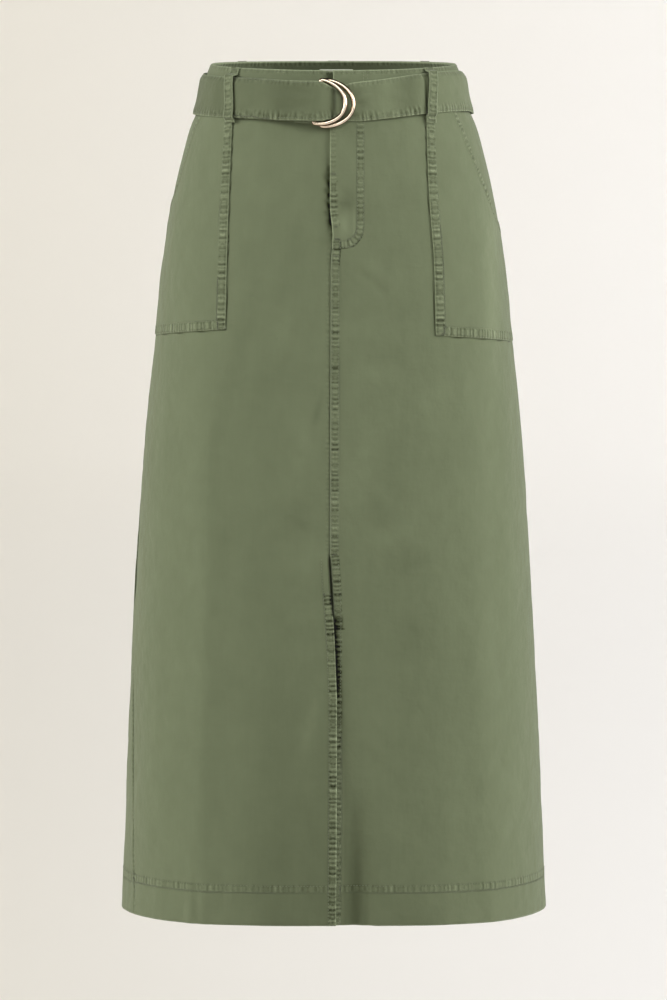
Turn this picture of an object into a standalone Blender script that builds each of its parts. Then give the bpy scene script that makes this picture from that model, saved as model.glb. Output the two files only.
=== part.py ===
"""Cargo utility skirt: a long A-line skirt in cotton twill, filled out and empty.

The cloth is a set of thin walls on one body form. The form is a stack of sections, one row of
BODY_SECTIONS each, and form_point() turns an angle round the skirt and a drop below the waist into
a point on it. Each piece is an open sheet of such points, moved out or in by the layers below it,
and Solidify gives it its thickness. The belt is a strap along a path in plan, and its rings are
curves with a round bevel.

Metres, +Z up. The origin is the centre of the waist opening, level with the side of its rim.
The front faces -Y. Angle 0 is the front centre, and it grows to the right as seen from the front.
"""

import math

import bpy
import numpy as np

COLLECTION_NAME = "cargo_utility_skirt"

# Cloth and seams
PANEL_WALL = 0.0012
WAISTBAND_WALL = 0.0020
WAISTBAND_PROUD = 0.0003
BELT_WALL = 0.0016
PATCH_WALL = 0.0012
LAYER_GAP = 0.0003
POCKET_GAP = 0.0004
SEAM_HALF_GAP = 0.0002

# Heights, as drops below the rim
WAISTBAND_DEPTH = 0.0407
HEM_DROP = 0.8445
RIM_AT_SIDE = 0.0008
RIM_TILT = 0.0026
RIM_DIP = 0.0016
RIM_LEVEL_BY = 0.12
FRONT_DROPS = (
    0.0410, 0.060, 0.090, 0.130, 0.168, 0.178, 0.200, 0.250, 0.330, 0.400, 0.470, 0.4806,
    0.505, 0.520, 0.545, 0.620, 0.690, 0.750, 0.8045, HEM_DROP,
)
BACK_DROPS = (
    0.0410, 0.060, 0.090, 0.130, 0.200, 0.250, 0.330, 0.400, 0.470, 0.545, 0.620, 0.690, 0.750,
    0.8045, HEM_DROP,
)
FRONT_COLUMNS = 16
FRONT_COLUMN_CROWDING = 0.5
BACK_COLUMNS = 30

# The form: one row for each section, from the rim to the hem.
# drop, half width, depth to the front, depth to the back, flatness of the front and back
BODY_SECTIONS = (
    (0.000, 0.1216, 0.0945, 0.0940, 2.25),
    (0.010, 0.1255, 0.0970, 0.0965, 2.28),
    (0.046, 0.1348, 0.1040, 0.1055, 2.35),
    (0.060, 0.1410, 0.1068, 0.1110, 2.40),
    (0.091, 0.1499, 0.1125, 0.1185, 2.50),
    (0.141, 0.1614, 0.1180, 0.1265, 2.70),
    (0.191, 0.1692, 0.1225, 0.1310, 2.85),
    (0.266, 0.1772, 0.1275, 0.1335, 3.00),
    (0.366, 0.1872, 0.1320, 0.1360, 3.10),
    (0.466, 0.1947, 0.1350, 0.1380, 3.20),
    (0.567, 0.2010, 0.1385, 0.1400, 3.30),
    (0.700, 0.2067, 0.1425, 0.1430, 3.35),
    (0.8445, 0.2125, 0.1455, 0.1460, 3.40),
)

# The largest folds, each a soft ridge (crest above 0) or trough (below 0) that fades in downwards:
# angle at the hem, angle where it starts, drop where it starts, drop where it is full, half width,
# crest
FOLDS = (
    (-0.66, -0.76, 0.250, 0.520, 0.120, 0.0030),
    (0.80, 0.88, 0.200, 0.450, 0.130, 0.0025),
    (0.110, 0.130, 0.640, 0.8445, 0.070, -0.0050),
    (2.05, 2.15, 0.380, 0.820, 0.120, 0.0045),
    (2.62, 2.80, 0.300, 0.800, 0.150, -0.0080),
    (3.08, 3.12, 0.400, 0.820, 0.140, 0.0050),
    (-2.73, -2.88, 0.350, 0.800, 0.130, -0.0070),
    (-2.08, -2.18, 0.400, 0.820, 0.120, 0.0045),
)

# The side seams: drop, angle of the left seam, angle of the right seam
SIDE_SEAMS = (
    (0.000, -1.571, 1.571),
    (0.470, -1.571, 1.571),
    (0.545, -1.505, 1.580),
    (0.620, -1.385, 1.595),
    (0.690, -1.326, 1.610),
    (0.8045, -1.225, 1.630),
    (0.8445, -1.195, 1.640),
)

# The centre edges of the front panels: drop, left panel's edge, how far the left panel sinks there,
# right panel's edge, how far the right panel sinks there (below 0 it is lifted)
CENTRE_EDGES = (
    (0.0410, 0.0080, 0.0015, -0.0034, -0.0005),
    (0.1300, 0.0080, 0.0015, -0.0036, -0.0005),
    (0.1440, 0.0080, 0.0015, -0.0032, -0.0005),
    (0.1560, 0.0080, 0.0015, -0.0016, -0.0005),
    (0.1660, 0.0080, 0.0015, -0.0009, -0.0004),
    (0.1760, -0.0017, 0.0015, -0.0013, -0.0003),
    (0.1880, -0.0029, 0.0006, -0.0025, -0.0001),
    (0.2000, -0.0033, 0.0000, -0.0029, 0.0000),
    (0.4700, -0.0041, 0.0000, -0.0037, 0.0000),
    (0.4806, -0.0042, 0.0000, -0.0037, 0.0000),
    (0.5050, -0.0031, 0.0000, -0.0026, 0.0006),
    (0.5200, -0.0018, 0.0000, -0.0013, 0.0018),
    (0.5450, 0.0002, 0.0000, -0.0010, 0.0024),
    (0.6200, 0.0034, 0.0000, -0.0010, 0.0030),
    (0.7080, 0.0034, 0.0000, -0.0010, 0.0035),
    (0.8445, 0.0025, 0.0000, -0.0020, 0.0045),
)
LEFT_SINK_KEEPS = 0.075
LEFT_SINK_WIDTH = 0.060
RIGHT_SINK_WIDTH = 0.110

# The patch pockets: drop at the inner edge, inner edge's distance from the centre,
# outer edge's angle, drop at the outer edge
POCKET_LEFT_ROWS = (
    (0.0440, 0.0985, 1.280, 0.0440),
    (0.0600, 0.0989, 1.301, 0.0600),
    (0.0750, 0.0996, 1.321, 0.0750),
    (0.0900, 0.1003, 1.341, 0.0900),
    (0.1050, 0.1010, 1.368, 0.1050),
    (0.1170, 0.1016, 1.402, 0.1175),
    (0.1250, 0.1019, 1.445, 0.1265),
    (0.1310, 0.1021, 1.498, 0.1335),
    (0.1370, 0.1023, 1.569, 0.1400),
    (0.1600, 0.1030, 1.569, 0.1650),
    (0.1850, 0.1037, 1.569, 0.1910),
    (0.2100, 0.1044, 1.569, 0.2175),
    (0.2350, 0.1050, 1.569, 0.2450),
    (0.2586, 0.1056, 1.569, 0.2710),
)
POCKET_RIGHT_ROWS = (
    (0.0440, 0.0902, 1.090, 0.0440),
    (0.0600, 0.0908, 1.102, 0.0600),
    (0.0750, 0.0912, 1.128, 0.0750),
    (0.0900, 0.0916, 1.160, 0.0910),
    (0.1050, 0.0922, 1.205, 0.1070),
    (0.1200, 0.0928, 1.260, 0.1225),
    (0.1340, 0.0935, 1.315, 0.1375),
    (0.1420, 0.0941, 1.360, 0.1470),
    (0.1470, 0.0945, 1.425, 0.1530),
    (0.1520, 0.0949, 1.495, 0.1575),
    (0.1570, 0.0953, 1.569, 0.1625),
    (0.1820, 0.0974, 1.569, 0.1890),
    (0.2090, 0.0986, 1.569, 0.2180),
    (0.2370, 0.0994, 1.569, 0.2480),
    (0.2644, 0.1001, 1.569, 0.2775),
)
POCKET_COLUMNS = 12
POCKET_COLUMN_CROWDING = 1.1

# The waistband's pieces and the flat hook between its ends
WAISTBAND_ROWS = 4
WAISTBAND_COLUMNS = 14
WAISTBAND_BACK_COLUMNS = 26
OVERLAP_EDGE = -0.0004
UNDERLAP_EDGE = 0.0330
UNDERLAP_SINK = 0.0041
UNDERLAP_STEP = (-0.0140, -0.0024)
UNDERLAP_COLUMNS = 4
HOOK_SIDES = (0.0080, 0.0220)
HOOK_DROPS = (0.0140, 0.0260)
HOOK_WALL = 0.0010
INNER_CLEAR = 0.0006

# The zip tape behind the fly and the plain label inside the back of the waistband
ZIP_SIDES = (-0.0110, 0.0150)
ZIP_DROPS = (0.0460, 0.1740)
ZIP_SINK = 0.0034
ZIP_WALL = 0.0010
LABEL_SIDES = (0.0202, -0.0146)
LABEL_DROPS = (0.0078, 0.0380)
LABEL_WALL = 0.0005

# The belt is a strap along a path. At the front its places are stated by the distance along X from
# the belt's zero, which lies between the two bars, and by the stand, which is the distance from the
# form to the strap's middle.
BELT_WIDTH = 0.0405
BELT_MIDDLE_DROP = 0.0330
BELT_ZERO_X = -0.0138
# The free end lies on the ring end, climbs over the bars and dips behind the rings' arcs.
BELT_FREE_END = (
    (-0.0875, 0.0036),
    (-0.0760, 0.0037),
    (-0.0560, 0.0044),
    (-0.0400, 0.0066),
    (-0.0250, 0.0104),
    (-0.0120, 0.0140),
    (-0.0020, 0.0155),
    (0.0030, 0.0147),
    (0.0070, 0.0126),
    (0.0109, 0.0101),
    (0.0136, 0.0070),
    (0.0149, 0.0046),
    (0.0166, 0.0027),
    (0.0192, 0.0017),
    (0.0230, 0.0016),
    (0.0420, 0.0016),
)
BELT_ROUND_STAND = 0.0022
BELT_ROUND_ROWS = 16
BELT_SIDE_STAND = 0.0019
BELT_SIDE_SINE = 0.62
BELT_LEAN = 0.0006
# The ring end lies beneath, goes over the first bar, turns round the second and comes back.
BELT_RING_END = (
    (-0.1000, 0.0017),
    (-0.0800, 0.0017),
    (-0.0600, 0.0018),
    (-0.0440, 0.0030),
    (-0.0280, 0.0065),
    (-0.0150, 0.0103),
    (-0.0060, 0.0127),
    (0.0000, 0.0134),
    (0.0032, 0.0122),
    (0.0070, 0.0095),
)
BELT_TURN = (math.radians(62), math.radians(-90))
BELT_TURN_ROWS = 6
BELT_TURN_RADIUS = 0.0034
BELT_RETURN = (
    (0.0030, 0.0015),
    (-0.0080, 0.0015),
    (-0.0200, 0.0015),
)
BELT_STEPS = 2
# Where the strap gathers inside the rings: distance from the belt's zero, share of its width above
# its middle line and below it
BELT_GATHER = (
    (-0.0200, 1.000, 1.000),
    (0.0000, 0.960, 1.000),
    (0.0040, 0.900, 0.990),
    (0.0070, 0.830, 0.955),
    (0.0108, 0.750, 0.900),
    (0.0134, 0.700, 0.880),
    (0.0150, 0.700, 0.870),
    (0.0175, 0.745, 0.880),
    (0.0200, 0.790, 0.900),
    (0.0240, 0.870, 0.930),
    (0.0300, 0.950, 0.970),
    (0.0420, 1.000, 1.000),
)
# How far the strap slants to follow the bars: distance from the belt's zero, shift for each unit of
# height
BELT_SLANT = (
    (-0.0800, 0.000),
    (-0.0300, 0.100),
    (-0.0020, 0.160),
    (0.0045, 0.079),
    (0.0125, 0.079),
    (0.0300, 0.000),
)
# The belt's level: angle, drop of its middle
BELT_LEVELS = (
    (-3.1416, 0.0310),
    (-1.5708, 0.0312),
    (-0.8500, 0.0315),
    (-0.5300, 0.0322),
    (-0.3300, 0.0340),
    (-0.1300, 0.0353),
    (0.1700, 0.0334),
    (0.8000, 0.0268),
    (1.1500, 0.0263),
    (1.3500, 0.0274),
    (1.5708, 0.0304),
    (3.1416, 0.0310),
)

# The D-rings: name, where the bar is along the belt, drop of its middle, tilt in degrees, stand,
# reach of the arc from the bar, half height of the arc
RING_WIRE = 0.0042
RING_CORNER = 0.0020
RING_ARC_POINTS = 28
RING_CORNER_POINTS = 4
RING_BEVEL_RESOLUTION = 2
RINGS = (
    ("ring_inner", -0.0015, 0.0347, 8.4, 0.0098, 0.0275, 0.0218),
    ("ring_outer", 0.0040, 0.0354, 5.0, 0.0052, 0.0297, 0.0230),
)
BELT_TURN_X = 0.0080

# Belt loops: name, angle at the top, angle at the bottom, stand of the strap's outer face there,
# stand of the loop's own outer face at its lower end
LOOP_WIDTH = 0.0118
LOOP_WALL = 0.0012
LOOP_TOP = 0.0002
LOOP_TOP_STAND = 0.0018
LOOP_END = 0.0568
LOOP_CLEAR = 0.0012
LOOP_BEND = 0.0024
BELT_LOOPS = (
    ("loop_front_left", -0.910, -0.801, 0.0045, 0.0030),
    ("loop_front_right", 0.870, 0.748, 0.0030, 0.0030),
    ("loop_back_left", -2.300, -2.300, 0.0030, 0.0015),
    ("loop_back_centre", 3.1416, 3.1416, 0.0030, 0.0015),
    ("loop_back_right", 2.300, 2.300, 0.0030, 0.0015),
)

# Looks: linear colour, roughness, metallic value
TWILL_GREEN = (0.160, 0.188, 0.108, 1.0), 0.85, 0.0
TAPE_GREEN = (0.110, 0.130, 0.075, 1.0), 0.80, 0.0
LABEL_CLOTH = (0.360, 0.400, 0.300, 1.0), 0.75, 0.0
PALE_GOLD = (0.830, 0.640, 0.480, 1.0), 0.22, 1.0
HOOK_METAL = (0.560, 0.560, 0.560, 1.0), 0.30, 1.0


def smooth_table(rows, column, at):
    """Reads a column of a table at any value of its first column, on a smooth curve whose slope at
    each row comes from its neighbours."""
    rows = np.array(rows, float)
    keys, values = rows[:, 0], rows[:, column]
    slopes = np.gradient(values, keys)
    at = np.clip(at, keys[0], keys[-1])
    row = np.clip(np.searchsorted(keys, at, side="right") - 1, 0, len(keys) - 2)
    span = keys[row + 1] - keys[row]
    t = (at - keys[row]) / span
    rise = values[row + 1] - values[row]
    start = slopes[row] * span - rise
    end = rise - slopes[row + 1] * span
    return values[row] + t * rise + t * (1.0 - t) * ((1.0 - t) * start + t * end)


def straight_table(rows, column, at):
    """Reads a column of a table at any value of its first column, in straight lines."""
    rows = np.array(rows, float)
    return np.interp(at, rows[:, 0], rows[:, column])


def ease(value, start, end):
    """0 before start and 1 after end, with a soft turn at both."""
    t = np.clip((value - start) / (end - start), 0.0, 1.0)
    return t * t * (3.0 - 2.0 * t)


def form_point(angle, drop):
    """A point on the form. In a section, x is the half width times the sine of the angle, and y is
    the depth times the root of 1 minus a power of that sine: a higher power is flatter. The rim
    dips at the front, and the sections below it are level again further down."""
    angle, drop = np.broadcast_arrays(np.asarray(angle, float), np.asarray(drop, float))
    sine, cosine = np.sin(angle), np.cos(angle)
    to_front = smooth_table(BODY_SECTIONS, 2, drop)
    to_back = smooth_table(BODY_SECTIONS, 3, drop)
    flatness = smooth_table(BODY_SECTIONS, 4, drop)
    depth = 0.5 * (to_front + to_back) + 0.5 * (to_front - to_back) * cosine
    x = smooth_table(BODY_SECTIONS, 1, drop) * sine
    y = -np.sign(cosine) * depth * np.sqrt(np.clip(1.0 - np.abs(sine) ** flatness, 0.0, 1.0))
    rim = RIM_AT_SIDE + RIM_TILT * cosine + RIM_DIP * cosine**2
    z = -drop - rim * np.clip(1.0 - drop / RIM_LEVEL_BY, 0.0, 1.0) ** 2
    return np.stack([x, y, z], axis=-1)


def form_normal(angle, drop):
    """The outward direction of the form, from two short steps across the point."""
    step = 1e-4
    drop = np.maximum(drop, 0.0)
    across = form_point(angle + step, drop) - form_point(angle - step, drop)
    lower = form_point(angle, np.minimum(drop + step, HEM_DROP))
    upper = form_point(angle, np.maximum(drop - step, 0.0))
    outward = np.cross(lower - upper, across)
    return outward / np.linalg.norm(outward, axis=-1, keepdims=True)


def layer(angle, drop, stand):
    """Points that stand off the form by a distance along its outward direction."""
    return form_point(angle, drop) + form_normal(angle, drop) * np.asarray(stand)[..., None]


def fold_height(angle, drop):
    """How far the folds move the cloth out: a bell across each fold, which fades in downwards."""
    height = np.zeros(np.broadcast(angle, drop).shape)
    for at_hem, at_start, start, full, half_width, crest in FOLDS:
        share = np.clip((drop - start) / (full - start), 0.0, 1.0)
        away = np.angle(np.exp(1j * (angle - at_start - (at_hem - at_start) * share)))
        height += crest * ease(drop, start, full) * np.exp(-((away / half_width) ** 2))
    return height


def seam_angle(angle, drop, side):
    """The angle of a seam's edge, half the seam's gap to one side of the seam's own angle."""
    step = 1e-3
    hop = form_point(angle + step, drop) - form_point(angle - step, drop)
    return angle + side * SEAM_HALF_GAP * 2.0 * step / np.linalg.norm(hop, axis=-1)


def front_angle(x, drop):
    """The angle of a place on the front at a distance x from the centre."""
    return np.arcsin(np.clip(x / smooth_table(BODY_SECTIONS, 1, drop), -1.0, 1.0))


def finish(name, look):
    """A Principled material of one colour."""
    colour, roughness, metallic = look
    material = bpy.data.materials.new(name)
    material.use_nodes = True
    shader = material.node_tree.nodes["Principled BSDF"]
    shader.inputs["Base Color"].default_value = colour
    shader.inputs["Roughness"].default_value = roughness
    shader.inputs["Metallic"].default_value = metallic
    material.diffuse_color = colour
    return material


def place(name, data, look):
    """Makes an object in the skirt's collection, with a material of its own."""
    obj = bpy.data.objects.new(name, data)
    data.materials.append(finish(name + "_finish", look))
    bpy.data.collections[COLLECTION_NAME].objects.link(obj)
    return obj


def sheet(name, points, wall, look, inwards=True):
    """A cloth wall on a grid of points, rows down and columns to the right. Its thickness goes
    inwards from the points, or half to each side."""
    rows, columns = points.shape[:2]
    index = np.arange(rows * columns).reshape(rows, columns)
    corners = (index[:-1, :-1], index[1:, :-1], index[1:, 1:], index[:-1, 1:])
    mesh = bpy.data.meshes.new(name)
    mesh.from_pydata(points.reshape(-1, 3), [], np.stack(corners, axis=-1).reshape(-1, 4))
    mesh.shade_smooth()
    obj = place(name, mesh, look)
    solidify = obj.modifiers.new("wall", "SOLIDIFY")
    solidify.thickness = wall
    solidify.offset = -1.0 if inwards else 0.0
    solidify.use_even_offset = True
    solidify.use_quality_normals = True
    return obj


def front_panel(name, side):
    """A front panel, from its centre edge to its side seam, with closer columns at both. Near the
    centre the left one sinks under the fly, and the right one under the left one at the slit."""
    edge_column, sink_column = (1, 2) if side < 0 else (3, 4)
    keeps, width = (LEFT_SINK_KEEPS, LEFT_SINK_WIDTH) if side < 0 else (0.0, RIGHT_SINK_WIDTH)
    drop = np.array(FRONT_DROPS)[:, None]
    centre = front_angle(straight_table(CENTRE_EDGES, edge_column, drop), drop)
    seam = seam_angle(straight_table(SIDE_SEAMS, 1 if side < 0 else 2, drop), drop, -side)
    turn = np.linspace(0.0, 2.0 * math.pi, FRONT_COLUMNS + 1)
    share = (turn - FRONT_COLUMN_CROWDING * np.sin(turn)) / (2.0 * math.pi)
    angle = centre + (seam - centre) * share
    beyond = np.maximum(np.abs(angle - centre) - keeps, 0.0)
    sink = straight_table(CENTRE_EDGES, sink_column, drop) * np.exp(-((beyond / width) ** 2))
    points = layer(angle, drop, fold_height(angle, drop) - sink)
    return sheet(name, points[:, ::-1] if side < 0 else points, PANEL_WALL, TWILL_GREEN)


def back_panel(name):
    """The back, from the right side seam round to the left one."""
    drop = np.array(BACK_DROPS)[:, None]
    start = seam_angle(straight_table(SIDE_SEAMS, 2, drop), drop, 1)
    end = seam_angle(straight_table(SIDE_SEAMS, 1, drop), drop, -1) + 2.0 * math.pi
    angle = start + (end - start) * np.linspace(0.0, 1.0, BACK_COLUMNS + 1)
    return sheet(name, layer(angle, drop, fold_height(angle, drop)), PANEL_WALL, TWILL_GREEN)


def pocket(name, rows, side):
    """A patch pocket on a front panel, with closer columns towards the side. Its outer edge is the
    slanted hand opening and, below that, the side seam."""
    table = np.array(rows)
    share = 1.0 - np.linspace(1.0, 0.0, POCKET_COLUMNS + 1) ** POCKET_COLUMN_CROWDING
    drop = table[:, :1] + (table[:, 3:] - table[:, :1]) * share
    inner = front_angle(table[:, 1:2], table[:, :1])
    angle = side * (inner + (table[:, 2:3] - inner) * share)
    points = layer(angle, drop, fold_height(angle, drop) + POCKET_GAP + PATCH_WALL)
    return sheet(name, points[:, ::-1] if side < 0 else points, PATCH_WALL, TWILL_GREEN)


def waistband_piece(name, angle, stand):
    """A stretch of the waistband, from the rim to the panels."""
    drop = np.linspace(0.0, WAISTBAND_DEPTH, WAISTBAND_ROWS + 1)[:, None]
    points = layer(angle, drop, np.broadcast_to(stand, (len(drop), len(angle))))
    return sheet(name, points, WAISTBAND_WALL, TWILL_GREEN)


def waistband():
    """The waistband's three pieces. The left one steps in and runs on under the right one."""
    middle = 0.5 * WAISTBAND_DEPTH
    seam = seam_angle(0.5 * math.pi, middle, -1)
    step_start, step_end = UNDERLAP_STEP
    angle = np.concatenate([
        np.linspace(-seam, front_angle(step_start, middle), WAISTBAND_COLUMNS)[:-1],
        front_angle(np.linspace(step_start, step_end, UNDERLAP_COLUMNS), middle),
        front_angle(np.linspace(step_end, UNDERLAP_EDGE, UNDERLAP_COLUMNS), middle)[1:],
    ])
    x = np.sin(angle) * smooth_table(BODY_SECTIONS, 1, middle)
    stand = WAISTBAND_PROUD - UNDERLAP_SINK * ease(x, step_start, step_end)
    waistband_piece("waistband_left", angle, stand)
    angle = np.linspace(front_angle(OVERLAP_EDGE, middle), seam, WAISTBAND_COLUMNS)
    waistband_piece("waistband_right", angle, WAISTBAND_PROUD)
    angle = np.linspace(math.pi - seam, math.pi + seam, WAISTBAND_BACK_COLUMNS)
    waistband_piece("waistband_back", angle, WAISTBAND_PROUD)


def small_patch(name, angles, drops, stand, wall, look, rows=1, columns=2):
    """A small flat piece that follows the form."""
    angle = np.linspace(angles[0], angles[1], columns + 1)[None, :]
    drop = np.linspace(drops[0], drops[1], rows + 1)[:, None]
    stand = np.full((rows + 1, columns + 1), stand)
    return sheet(name, layer(angle, drop, stand), wall, look)


def hidden_pieces():
    """The hook between the waistband's ends, the zip tape behind the fly and the label."""
    hook_at = front_angle(np.array(HOOK_SIDES), 0.5 * WAISTBAND_DEPTH)
    inside = WAISTBAND_PROUD - WAISTBAND_WALL - INNER_CLEAR
    small_patch("waist_hook", hook_at, HOOK_DROPS, inside, HOOK_WALL, HOOK_METAL)
    zip_at = front_angle(np.array(ZIP_SIDES), ZIP_DROPS[0])
    small_patch("fly_zip", zip_at, ZIP_DROPS, -ZIP_SINK, ZIP_WALL, TAPE_GREEN, rows=4, columns=3)
    label_at = math.pi - front_angle(np.array(LABEL_SIDES), 0.5 * WAISTBAND_DEPTH)
    small_patch("inner_label", label_at, LABEL_DROPS, inside, LABEL_WALL, LABEL_CLOTH,
                rows=3, columns=3)


def belt_path():
    """The strap's path as angles and stands: its free end at the front left, once round the skirt,
    then the ring end under it, a turn round the second bar and the short return."""
    free = np.array(BELT_FREE_END)
    ring = np.array(BELT_RING_END)
    start = front_angle(BELT_ZERO_X + free[-1, 0], BELT_MIDDLE_DROP)
    end = front_angle(BELT_ZERO_X + ring[0, 0], BELT_MIDDLE_DROP) + 2.0 * math.pi
    around = np.linspace(start, end, BELT_ROUND_ROWS + 2)[1:-1]
    turn = np.linspace(*BELT_TURN, BELT_TURN_ROWS)
    turned = np.stack([BELT_TURN_X + BELT_TURN_RADIUS * np.cos(turn),
                       RINGS[1][4] + BELT_TURN_RADIUS * np.sin(turn)], axis=-1)
    ends = np.concatenate([ring, turned, np.array(BELT_RETURN)])
    angle = np.concatenate([
        front_angle(BELT_ZERO_X + free[:, 0], BELT_MIDDLE_DROP),
        around,
        front_angle(BELT_ZERO_X + ends[:, 0], BELT_MIDDLE_DROP) + 2.0 * math.pi,
    ])
    stand = np.concatenate([free[:, 1], np.full(len(around), BELT_ROUND_STAND), ends[:, 1]])
    reach = smooth_table(BODY_SECTIONS, 1, BELT_MIDDLE_DROP)
    hops = np.hypot(np.diff(angle) * reach, np.diff(stand))
    along = np.concatenate([[0.0], np.cumsum(hops)])
    steps = np.arange(BELT_STEPS * (len(along) - 1) + 1) / BELT_STEPS
    fine = np.interp(steps, np.arange(len(along)), along)
    rows = np.stack([along, angle, stand], axis=-1)
    return smooth_table(rows, 1, fine), smooth_table(rows, 2, fine)


def belt(name):
    """The strap: three rows of points along its path, at its top edge, middle and lower edge."""
    angle, stand = belt_path()
    wrapped = np.angle(np.exp(1j * angle))
    along = np.sin(angle) * smooth_table(BODY_SECTIONS, 1, BELT_MIDDLE_DROP) - BELT_ZERO_X
    front = np.cos(angle) > 0.0
    slant = np.where(front, straight_table(BELT_SLANT, 1, along), 0.0)
    side = ease(np.abs(np.sin(angle)), 0.0, BELT_SIDE_SINE)
    height = np.array([1.0, 0.0, -1.0])[:, None]
    above, below = smooth_table(BELT_GATHER, 1, along), smooth_table(BELT_GATHER, 2, along)
    gather = np.where(front, np.where(height > 0.0, above, below), 1.0)
    rise = height * 0.5 * BELT_WIDTH * gather
    drop = smooth_table(BELT_LEVELS, 1, wrapped) - rise
    shift = slant * rise / smooth_table(BODY_SECTIONS, 1, BELT_MIDDLE_DROP)
    stand = stand + side * (BELT_SIDE_STAND + BELT_LEAN * height)
    return sheet(name, layer(angle + shift, drop, stand), BELT_WALL, TWILL_GREEN, inwards=False)


def ring(name, bar, drop, tilt, stand, arc_reach, half_height):
    """A D-ring: a straight bar, two round corners and half an ellipse, in a plane that stands off
    the form. The tilt leans its bar to the right at the top."""
    arc_end = math.acos(RING_CORNER / arc_reach)
    turn = np.linspace(-arc_end, arc_end, RING_ARC_POINTS)
    top = half_height * math.sin(arc_end)
    corner = np.linspace(0.5 * math.pi, math.pi, RING_CORNER_POINTS)[1:]
    corner_x = RING_CORNER + RING_CORNER * np.cos(corner)
    corner_y = top - RING_CORNER + RING_CORNER * np.sin(corner)
    reach = np.concatenate([arc_reach * np.cos(turn), corner_x, corner_x[::-1]])
    height = np.concatenate([half_height * np.sin(turn), corner_y, -corner_y[::-1]])
    angle = front_angle(BELT_ZERO_X + bar, drop)
    up = form_point(angle, drop - 0.001) - form_point(angle, drop + 0.001)
    up /= np.linalg.norm(up)
    right = np.cross(up, form_normal(angle, drop))
    lean = math.radians(tilt)
    across = reach * math.cos(lean) + height * math.sin(lean)
    upward = height * math.cos(lean) - reach * math.sin(lean)
    points = layer(angle, drop, stand) + across[:, None] * right + upward[:, None] * up
    curve = bpy.data.curves.new(name, "CURVE")
    curve.dimensions = "3D"
    curve.bevel_depth = 0.5 * RING_WIRE
    curve.bevel_resolution = RING_BEVEL_RESOLUTION
    spline = curve.splines.new("POLY")
    spline.points.add(len(points) - 1)
    spline.points.foreach_set("co", np.insert(points, 3, 1.0, axis=1).ravel())
    spline.use_cyclic_u = True
    return place(name, curve, PALE_GOLD)


def belt_loop(name, top_angle, bottom_angle, strap_stand, end_stand):
    """A belt loop: sewn flat at both ends, it bends out over the strap's edges."""
    level = smooth_table(BELT_LEVELS, 1, bottom_angle)
    above, below = level - 0.5 * BELT_WIDTH, level + 0.5 * BELT_WIDTH
    over = strap_stand + LAYER_GAP + LOOP_WALL + LAYER_GAP
    over += BELT_SIDE_STAND * ease(abs(math.sin(bottom_angle)), 0.0, BELT_SIDE_SINE)
    drop = np.array([LOOP_TOP, above - LOOP_CLEAR - LOOP_BEND, above - LOOP_CLEAR, level,
                     below + LOOP_CLEAR, below + LOOP_CLEAR + LOOP_BEND, LOOP_END])
    stand = np.array([LOOP_TOP_STAND, LOOP_TOP_STAND + LAYER_GAP, over + BELT_LEAN, over,
                      over, end_stand + LAYER_GAP, end_stand])
    angle = top_angle + (bottom_angle - top_angle) * (drop - LOOP_TOP) / (LOOP_END - LOOP_TOP)
    along = form_point(angle + 0.01, drop) - form_point(angle - 0.01, drop)
    along /= np.linalg.norm(along, axis=-1, keepdims=True)
    across = np.linspace(-0.5, 0.5, 3)[None, :, None] * LOOP_WIDTH
    points = layer(angle, drop, stand)[:, None, :] + across * along[:, None, :]
    return sheet(name, points, LOOP_WALL, TWILL_GREEN)


def build():
    """Clears the scene and makes every piece."""
    for old in list(bpy.data.objects):
        bpy.data.objects.remove(old)
    collection = bpy.data.collections.new(COLLECTION_NAME)
    bpy.context.scene.collection.children.link(collection)
    front_panel("front_left", -1)
    front_panel("front_right", 1)
    back_panel("back")
    pocket("pocket_left", POCKET_LEFT_ROWS, -1)
    pocket("pocket_right", POCKET_RIGHT_ROWS, 1)
    waistband()
    hidden_pieces()
    belt("belt")
    for row in RINGS:
        ring(*row)
    for row in BELT_LOOPS:
        belt_loop(*row)


build()
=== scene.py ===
"""Cargo utility skirt: the looks of a long A-line skirt in washed olive cotton twill.

Every cloth piece is a fine grid of points on the skirt's own form: an angle round the skirt and a
drop below the waist give a point, and folds, creases and seams move it out or in. Solidify gives
the cloth its thickness. Metres, +Z up, the front faces -Y. Angle 0 is the front centre, and it grows
to the right as seen from the front.
"""

import math
from functools import partial

import bpy
import numpy as np
from bpy.props import FloatProperty, FloatVectorProperty, PointerProperty
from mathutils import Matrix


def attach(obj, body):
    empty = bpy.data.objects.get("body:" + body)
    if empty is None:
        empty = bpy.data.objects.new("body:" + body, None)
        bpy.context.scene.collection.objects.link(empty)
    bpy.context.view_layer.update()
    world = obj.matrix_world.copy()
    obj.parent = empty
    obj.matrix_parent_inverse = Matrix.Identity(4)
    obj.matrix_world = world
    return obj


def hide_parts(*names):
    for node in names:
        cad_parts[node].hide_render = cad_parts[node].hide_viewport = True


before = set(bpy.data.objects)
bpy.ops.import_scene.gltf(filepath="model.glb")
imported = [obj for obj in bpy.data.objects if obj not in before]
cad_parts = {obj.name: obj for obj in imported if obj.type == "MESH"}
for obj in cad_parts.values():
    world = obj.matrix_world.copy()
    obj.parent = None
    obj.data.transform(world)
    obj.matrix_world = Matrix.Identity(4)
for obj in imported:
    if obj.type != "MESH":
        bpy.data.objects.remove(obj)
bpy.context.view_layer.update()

bl_info = {
    "name": "Utility skirt",
    "version": (1, 0, 0),
    "blender": (4, 5, 0),
    "location": "View3D > Sidebar > Skirt",
    "description": "A long skirt in washed twill, with patch pockets and a belt on D-rings",
    "category": "Object",
}

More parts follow.
